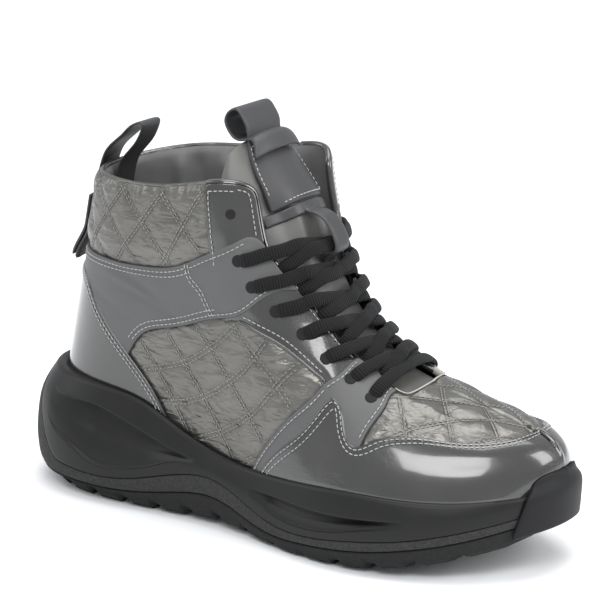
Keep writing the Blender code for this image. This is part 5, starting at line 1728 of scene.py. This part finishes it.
def ring(offset, z):
    """Outline moved outward by offset, at height z."""
    xy = FOOT + OUT * np.broadcast_to(offset, (COUNT,))[:, None]
    return np.column_stack([xy, np.broadcast_to(z, (COUNT,))])


def side_at(z):
    """How far the sole side stands out at height z, smooth through the six sole lines."""
    z = np.broadcast_to(z, (COUNT,))
    wall = LIP - LINE_A
    heights = np.stack([LOW_EDGE, LINE_B, LINE_A, LINE_A + wall / 3, LINE_A + wall * 2 / 3, LIP])
    values = FLARES.T[::-1]
    slope = np.gradient(values, axis=0) / np.gradient(heights, axis=0)
    i = np.clip(np.sum(z > heights[1:], axis=0), 0, 4)
    c = np.arange(COUNT)
    h = heights[i + 1, c] - heights[i, c]
    t = np.clip((z - heights[i, c]) / h, 0, 1)
    a = (1 + 2 * t) * (1 - t) ** 2
    b = t ** 2 * (3 - 2 * t)
    return (a * values[i, c] + b * values[i + 1, c] + t * (1 - t) ** 2 * h * slope[i, c]
            - t ** 2 * (1 - t) * h * slope[i + 1, c])


def stack(rings):
    """Rings as one grid, from the first to the last."""
    return np.stack(rings, 1)


def cap_rows(edge, count):
    """Rows that shrink a ring to its middle line, to close a flat end."""
    other = edge[(COUNT - np.arange(COUNT)) % COUNT]
    middle = (edge + other) / 2
    return [edge + (middle - edge) * t for t in np.linspace(0, 1, count + 1)[1:]]


# %% Midsole with its leaf recesses
# shares of a leaf's height, from the lower rim to the upper line, close together at both edges
LEAF_ROWS = (0.985, 0.97, 0.95, 0.90, 0.80, 0.70, 0.60, 0.54, 0.50, 0.40, 0.30, 0.20, 0.12, 0.08, 0.06,
             0.045, 0.03, 0.015, 0.0)


def make_midsole():
    rows = open_curve(LEAF[:, 0], LEAF[:, 1:], ALONG)
    depth = LEAF_DEPTH * np.clip(rows[:, 2], 0, 1)
    high = LIP - TAB_TOP
    up = TAB_TOP + high * rows[:, 0]
    low = TAB_TOP + high * rows[:, 1]
    depth = np.minimum(depth, side_at((up + low) / 2) - CUP - 0.0012)
    rings = cap_rows(ring(side_at(TAB_TOP) - TAB_THICK - 0.0008, LINE_A + GAP / 2), 3)[::-1]
    rings += [ring(side_at(TAB_TOP) - TAB_THICK - 0.0008, LINE_A + GAP / 2),
              ring(side_at(TAB_TOP) - TAB_THICK - GAP, TAB_TOP + GAP / 2),
              ring(side_at(TAB_TOP) - 0.0004, TAB_TOP + GAP / 2)]
    for t in np.linspace(0.0, 1, 10):
        z = TAB_TOP + 0.0004 + (low - TAB_TOP - 0.0004) * t
        rings.append(ring(side_at(z), z))
    for w in LEAF_ROWS:
        z = up - (up - low) * w
        cut = ease((1 - w) / 0.05) * (0.25 + 0.75 * ease((1 - w) / 0.85)) * ease(w / 0.08)
        middle_step = 0.10 * ease((0.52 - w) / 0.03)
        rings.append(ring(side_at(z) - depth * (cut + middle_step * ease(w / 0.2)), z))
    for t in np.linspace(0.08, 1, 12):
        z = up + (LIP - 0.0012 - up) * t
        rings.append(ring(side_at(z), z))
    rings += [ring(FLARES[:, 0] - 0.0004, LIP - 0.0004), ring(FLARES[:, 0] - 0.0010, LIP), ring(CUP, LIP),
              ring(CUP - TUCK_INSET, BED - GAP)]
    rings += cap_rows(ring(CUP - TUCK_INSET, BED - GAP), 3)
    grid = stack(rings)
    return add_piece("midsole_smooth", grid, grid_faces(*grid.shape[:2], wrap_m=True), SMOOTH, "smooth_foam",
                     ["midsole"], merge=True)


make_midsole()


# %% Wedge
def make_wedge():
    base = cap_rows(ring(FLARES[:, 4] - 0.0040, LINE_B + GAP / 2), 3)[::-1]
    rings = base + [ring(FLARES[:, 4] - 0.0040, LINE_B + GAP / 2),
                    ring(FLARES[:, 4] - 0.0006, LINE_B + GAP / 2)]
    for t in np.linspace(0, 1, 16):
        z = LINE_B + 0.0006 + (TAB_TOP - 0.0006 - LINE_B - 0.0006) * t
        rings.append(ring(side_at(z), z))
    rings += [ring(side_at(TAB_TOP) - 0.0006, TAB_TOP - GAP / 2),
              ring(side_at(TAB_TOP) - TAB_THICK, TAB_TOP - GAP / 2),
              ring(side_at(TAB_TOP) - TAB_THICK - 0.0005, LINE_A - GAP / 2)]
    rings += cap_rows(rings[-1], 3)
    grid = stack(rings)
    return add_piece("wedge_grain", grid, grid_faces(*grid.shape[:2], wrap_m=True), WEDGE, "wedge_foam",
                     ["wedge"], merge=True)


make_wedge()

# %% [markdown]
# ## Tread
# Fourteen rows of chevron bars cross the outsole. Their height is a smooth mask over the plan, so one
# surface of rings that shrink towards the middle line holds the bars, the grooves and the side.

# %% Outsole
LUG_ROWS = 14
LUG_FIRST = -0.118
LUG_LAST = 0.124
LUG_PITCH = (LUG_LAST - LUG_FIRST) / (LUG_ROWS - 1)
LUG_DEPTH = 0.0025


def lug_share(x, y, edge):
    """1 on a bar and 0 in a groove; edge is the distance to the outline."""
    reach = np.maximum(np.abs(y) + edge, 0.01)
    lean = 0.0040 * (0.5 - (np.abs(y) - 0.0025) / np.maximum(reach - 0.0075, 0.01))
    row = (x - lean - LUG_FIRST) / LUG_PITCH
    away = np.abs(row - np.clip(np.round(row), 0, LUG_ROWS - 1)) * LUG_PITCH
    bar = 1 - ease((away - LUG_PITCH * 0.32) / 0.0009)
    return bar * ease((np.abs(y) - 0.0022) / 0.0007)


def make_outsole():
    low = ring(FLARES[:, 5] - 0.0002, LOW_EDGE)
    other = low[(COUNT - np.arange(COUNT)) % COUNT]
    middle = (low + other) / 2
    rows = []
    shares = np.concatenate([np.linspace(0, 0.97, 62), [1.0]])
    width = np.linalg.norm(low[:, :2] - middle[:, :2], axis=1)
    for t in shares[::-1]:
        p = low + (middle - low) * t
        away = width * t
        tread = levels(p[:, 0])[:, 5]
        ramp = ease(away / 0.0060)
        bar = lug_share(p[:, 0], p[:, 1], away)
        floor = tread + LUG_DEPTH * (1 - bar)
        cut = bar * 0.35 * (1 - ramp) * (LOW_EDGE - tread) * ease(away / 0.0008)
        p[:, 2] = LOW_EDGE * (1 - ramp) + floor * ramp - cut
        rows.append(p)
    notch = lug_share(low[:, 0], low[:, 1], np.zeros(COUNT))
    rise = (1 - notch) * 0.0013
    rows[-1][:, 2] += rise
    for t in np.linspace(0.04, 1, 9):
        z = LOW_EDGE + 0.0004 + (LINE_B - GAP / 2 - 0.0008 - LOW_EDGE - 0.0004) * t
        out = FLARES[:, 5] + (FLARES[:, 4] - 0.0004 - FLARES[:, 5]) * ease(t ** 0.8)
        rows.append(ring(out, z + rise * (1 - t) ** 2))
    rows += [ring(FLARES[:, 4] - 0.0012, LINE_B - GAP / 2)]
    rows += cap_rows(rows[-1], 3)
    grid = stack(rows)
    return add_piece("tread", grid, grid_faces(*grid.shape[:2], wrap_m=True), TREAD, "tread_rubber",
                     ["outsole"], merge=True)


make_outsole()


# %% [markdown]
# ## Toe bumper and insole
# The bumper is a thick tongue of rubber that climbs from the outsole over the tip of the toe; its
# height falls away to both sides as half an ellipse.

# %% Toe bumper
# half widths in s, from the lower edge up to the top
BUMPER_HALF = (0.048, 0.045, 0.041, 0.037, 0.034, 0.032)


def make_bumper():
    t = np.linspace(-1, 1, 121)
    body = np.sqrt(np.clip(1 - t ** 2, 0, 1))
    thick = 0.0008 + 0.0026 * body
    climb = 0.02 + 0.16 * body
    knots = np.array([0.0, 0.33, 0.67, 1.0, 1.35, 1.7]) / 1.7
    back = []
    for share, half in zip((0.0, 0.33, 0.67, 1.0), BUMPER_HALF[:4]):
        foot, out = plan(0.5 + t * half)
        lev = levels(foot[:, 0])
        flare = open_curve(FLARE[:, 0], FLARE[:, 1:], fold(0.5 + t * half)) * BALL_WIDTH
        low = lev[:, 4] + 0.0010
        inside = flare[:, :5].max(axis=1) + 0.0006
        back.append(np.column_stack([foot + out * inside[:, None], low + (lev[:, 0] - low) * share]))
    for share, half in zip((0.5, 1.0), BUMPER_HALF[4:]):
        s = 0.5 + t * half
        back.append(last(s, climb * share) + facing(s, climb * share) * (PANEL + 2 * GAP + 0.0002))
    back = np.array(back)
    fine = np.linspace(0, 1, 40)
    back = open_curve(knots, back.reshape(len(knots), -1), fine).reshape(40, len(t), 3)
    share = fine[:, None] * 1.0
    bulge = thick * (0.70 + 0.30 * np.sin(math.pi * share)) * (1 - 0.4 * ease((share - 0.6) / 0.4))
    ends = np.sqrt(np.clip(np.minimum(share, 1 - share) / 0.05, 0, 1))
    border = ends * np.sqrt(np.clip((1 - np.abs(t)) / 0.05, 0, 1))
    away = np.stack(np.broadcast_arrays(out[:, 0], out[:, 1], 0.9 * np.clip(share - 0.6, 0, 1)), -1)
    front = back + away * (bulge * border)[..., None]
    points = np.concatenate([front.reshape(-1, 3), back.reshape(-1, 3)])
    m, n = back.shape[:2]
    faces = np.vstack([grid_faces(m, n), grid_faces(m, n, flip=True) + m * n])
    return add_piece("toe_cap_rubber", points, faces, BUMPER, "bumper_rubber", ["toe_bumper"], merge=True)


make_bumper()


# %% Insole
def make_insole():
    inset = -(TUCK_INSET + WALL + 0.0010)
    top = BED + INSOLE
    rings = cap_rows(ring(inset, BED), 3)[::-1]
    rings += [ring(inset, BED), ring(inset, top - 0.0014), ring(inset - 0.0006, top - 0.0004)]
    rings += [ring(inset - 0.0016, top)]
    rings += cap_rows(rings[-1], 24)
    grid = stack(rings)
    return add_piece("insole_cover", grid, grid_faces(*grid.shape[:2], wrap_m=True), SOCK, "insole_fabric",
                     ["insole"], merge=True)


make_insole()

# %% [markdown]
# ## Stage, light and camera
# The photograph is a catalogue picture on white: one large soft light from above and the left, a fill
# from the right, and a pale floor that runs out into the backdrop.

# %% Floor
def make_floor():
    """A floor that bends up into a backdrop: a quarter circle between two flat runs."""
    turn = np.linspace(0, math.pi / 2, 17)
    bend = 0.8
    back = np.column_stack([3.0 + bend * np.sin(turn), bend - bend * np.cos(turn)])
    line = np.vstack([[-3.0, 0.0], back, [3.0 + bend, 4.0]])
    side = np.linspace(-5, 5, 2)
    towards = np.array([-math.sin(math.radians(32.5)), math.cos(math.radians(32.5))])
    across = np.array([towards[1], -towards[0]])
    points = [(*(towards * a + across * w), z - 0.00002) for a, z in line for w in side]
    mesh = bpy.data.meshes.new("floor")
    mesh.from_pydata(points, [], grid_faces(len(line), 2).tolist())
    p = Paint("paper_floor")
    p.colour(p.blend(p.noise(3.0, 2.0), (0.900, 0.905, 0.915), (0.925, 0.930, 0.940)))
    p.shader.inputs["Roughness"].default_value = 0.9
    mesh.materials.append(p.material)
    mesh.polygons.foreach_set("use_smooth", np.ones(len(mesh.polygons), bool))
    floor = bpy.data.objects.new("floor", mesh)
    bpy.context.scene.collection.objects.link(floor)
    floor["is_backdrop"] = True


make_floor()


# %% Lights
def soft_light(name, place, aim, size, power, tint=(1, 1, 1)):
    lamp = bpy.data.lights.new(name, "AREA")
    lamp.shape = "RECTANGLE"
    lamp.size = size[0]
    lamp.size_y = size[1]
    lamp.energy = power
    lamp.color = tint
    ob = bpy.data.objects.new(name, lamp)
    ob.location = place
    ob.rotation_euler = (Vector(aim) - Vector(place)).to_track_quat("-Z", "Y").to_euler()
    bpy.context.scene.collection.objects.link(ob)


soft_light("key", (0.55, -1.20, 1.35), (0.0, 0, 0.08), (1.2, 0.5), 15)
soft_light("left_fill", (-1.3, -0.6, 0.9), (0, 0, 0.08), (0.7, 1.0), 5)
soft_light("right_rim", (1.35, 0.35, 0.9), (0, 0, 0.08), (0.6, 0.9), 11)
soft_light("top", (0.0, 0.2, 1.7), (0, 0, 0.1), (1.3, 1.3), 20)
world = bpy.data.worlds.new("studio")
world.use_nodes = True
world.node_tree.nodes["Background"].inputs["Color"].default_value = (0.95, 0.97, 1.0, 1)
world.node_tree.nodes["Background"].inputs["Strength"].default_value = 0.75
bpy.context.scene.world = world
bpy.context.scene.view_settings.view_transform = "Standard"

# %% Camera at the photograph's angle
PHOTO_SIZE = 614
AZIMUTH = math.radians(32.5)
ELEVATION = math.radians(16.0)
DISTANCE = 1.5
ROLL = math.radians(1.0)
FOCAL_PIXELS = 3148.9
PRINCIPAL = (299.3, 313.7)
SENSOR = 36.0
back = Vector((math.sin(AZIMUTH) * math.cos(ELEVATION), -math.cos(AZIMUTH) * math.cos(ELEVATION),
               math.sin(ELEVATION)))
level = Vector((math.cos(AZIMUTH), math.sin(AZIMUTH), 0))
upward = back.cross(level)
right = level * math.cos(ROLL) + upward * math.sin(ROLL)
upward = upward * math.cos(ROLL) - level * math.sin(ROLL)
lens = bpy.data.cameras.new("photo_camera")
lens.sensor_width = SENSOR
lens.lens = FOCAL_PIXELS / PHOTO_SIZE * SENSOR
lens.shift_x = (PHOTO_SIZE / 2 - PRINCIPAL[0]) / PHOTO_SIZE
lens.shift_y = (PRINCIPAL[1] - PHOTO_SIZE / 2) / PHOTO_SIZE
lens.clip_end = 50
camera = bpy.data.objects.new("photo_camera", lens)
camera.matrix_world = Matrix((
    (right[0], upward[0], back[0], back[0] * DISTANCE),
    (right[1], upward[1], back[1], back[1] * DISTANCE),
    (right[2], upward[2], back[2], back[2] * DISTANCE + 0.1),
    (0, 0, 0, 1),
))
bpy.context.scene.collection.objects.link(camera)
bpy.context.scene.camera = camera
print("lens, mm:", round(lens.lens, 1))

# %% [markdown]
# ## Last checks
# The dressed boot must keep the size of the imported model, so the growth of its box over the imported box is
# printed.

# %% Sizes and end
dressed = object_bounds()
sizes = zip(dressed[1] - dressed[0], CAD_BOX[1] - CAD_BOX[0])
print("grown by, mm:", [round((a - b) * 1000, 1) for a, b in sizes])
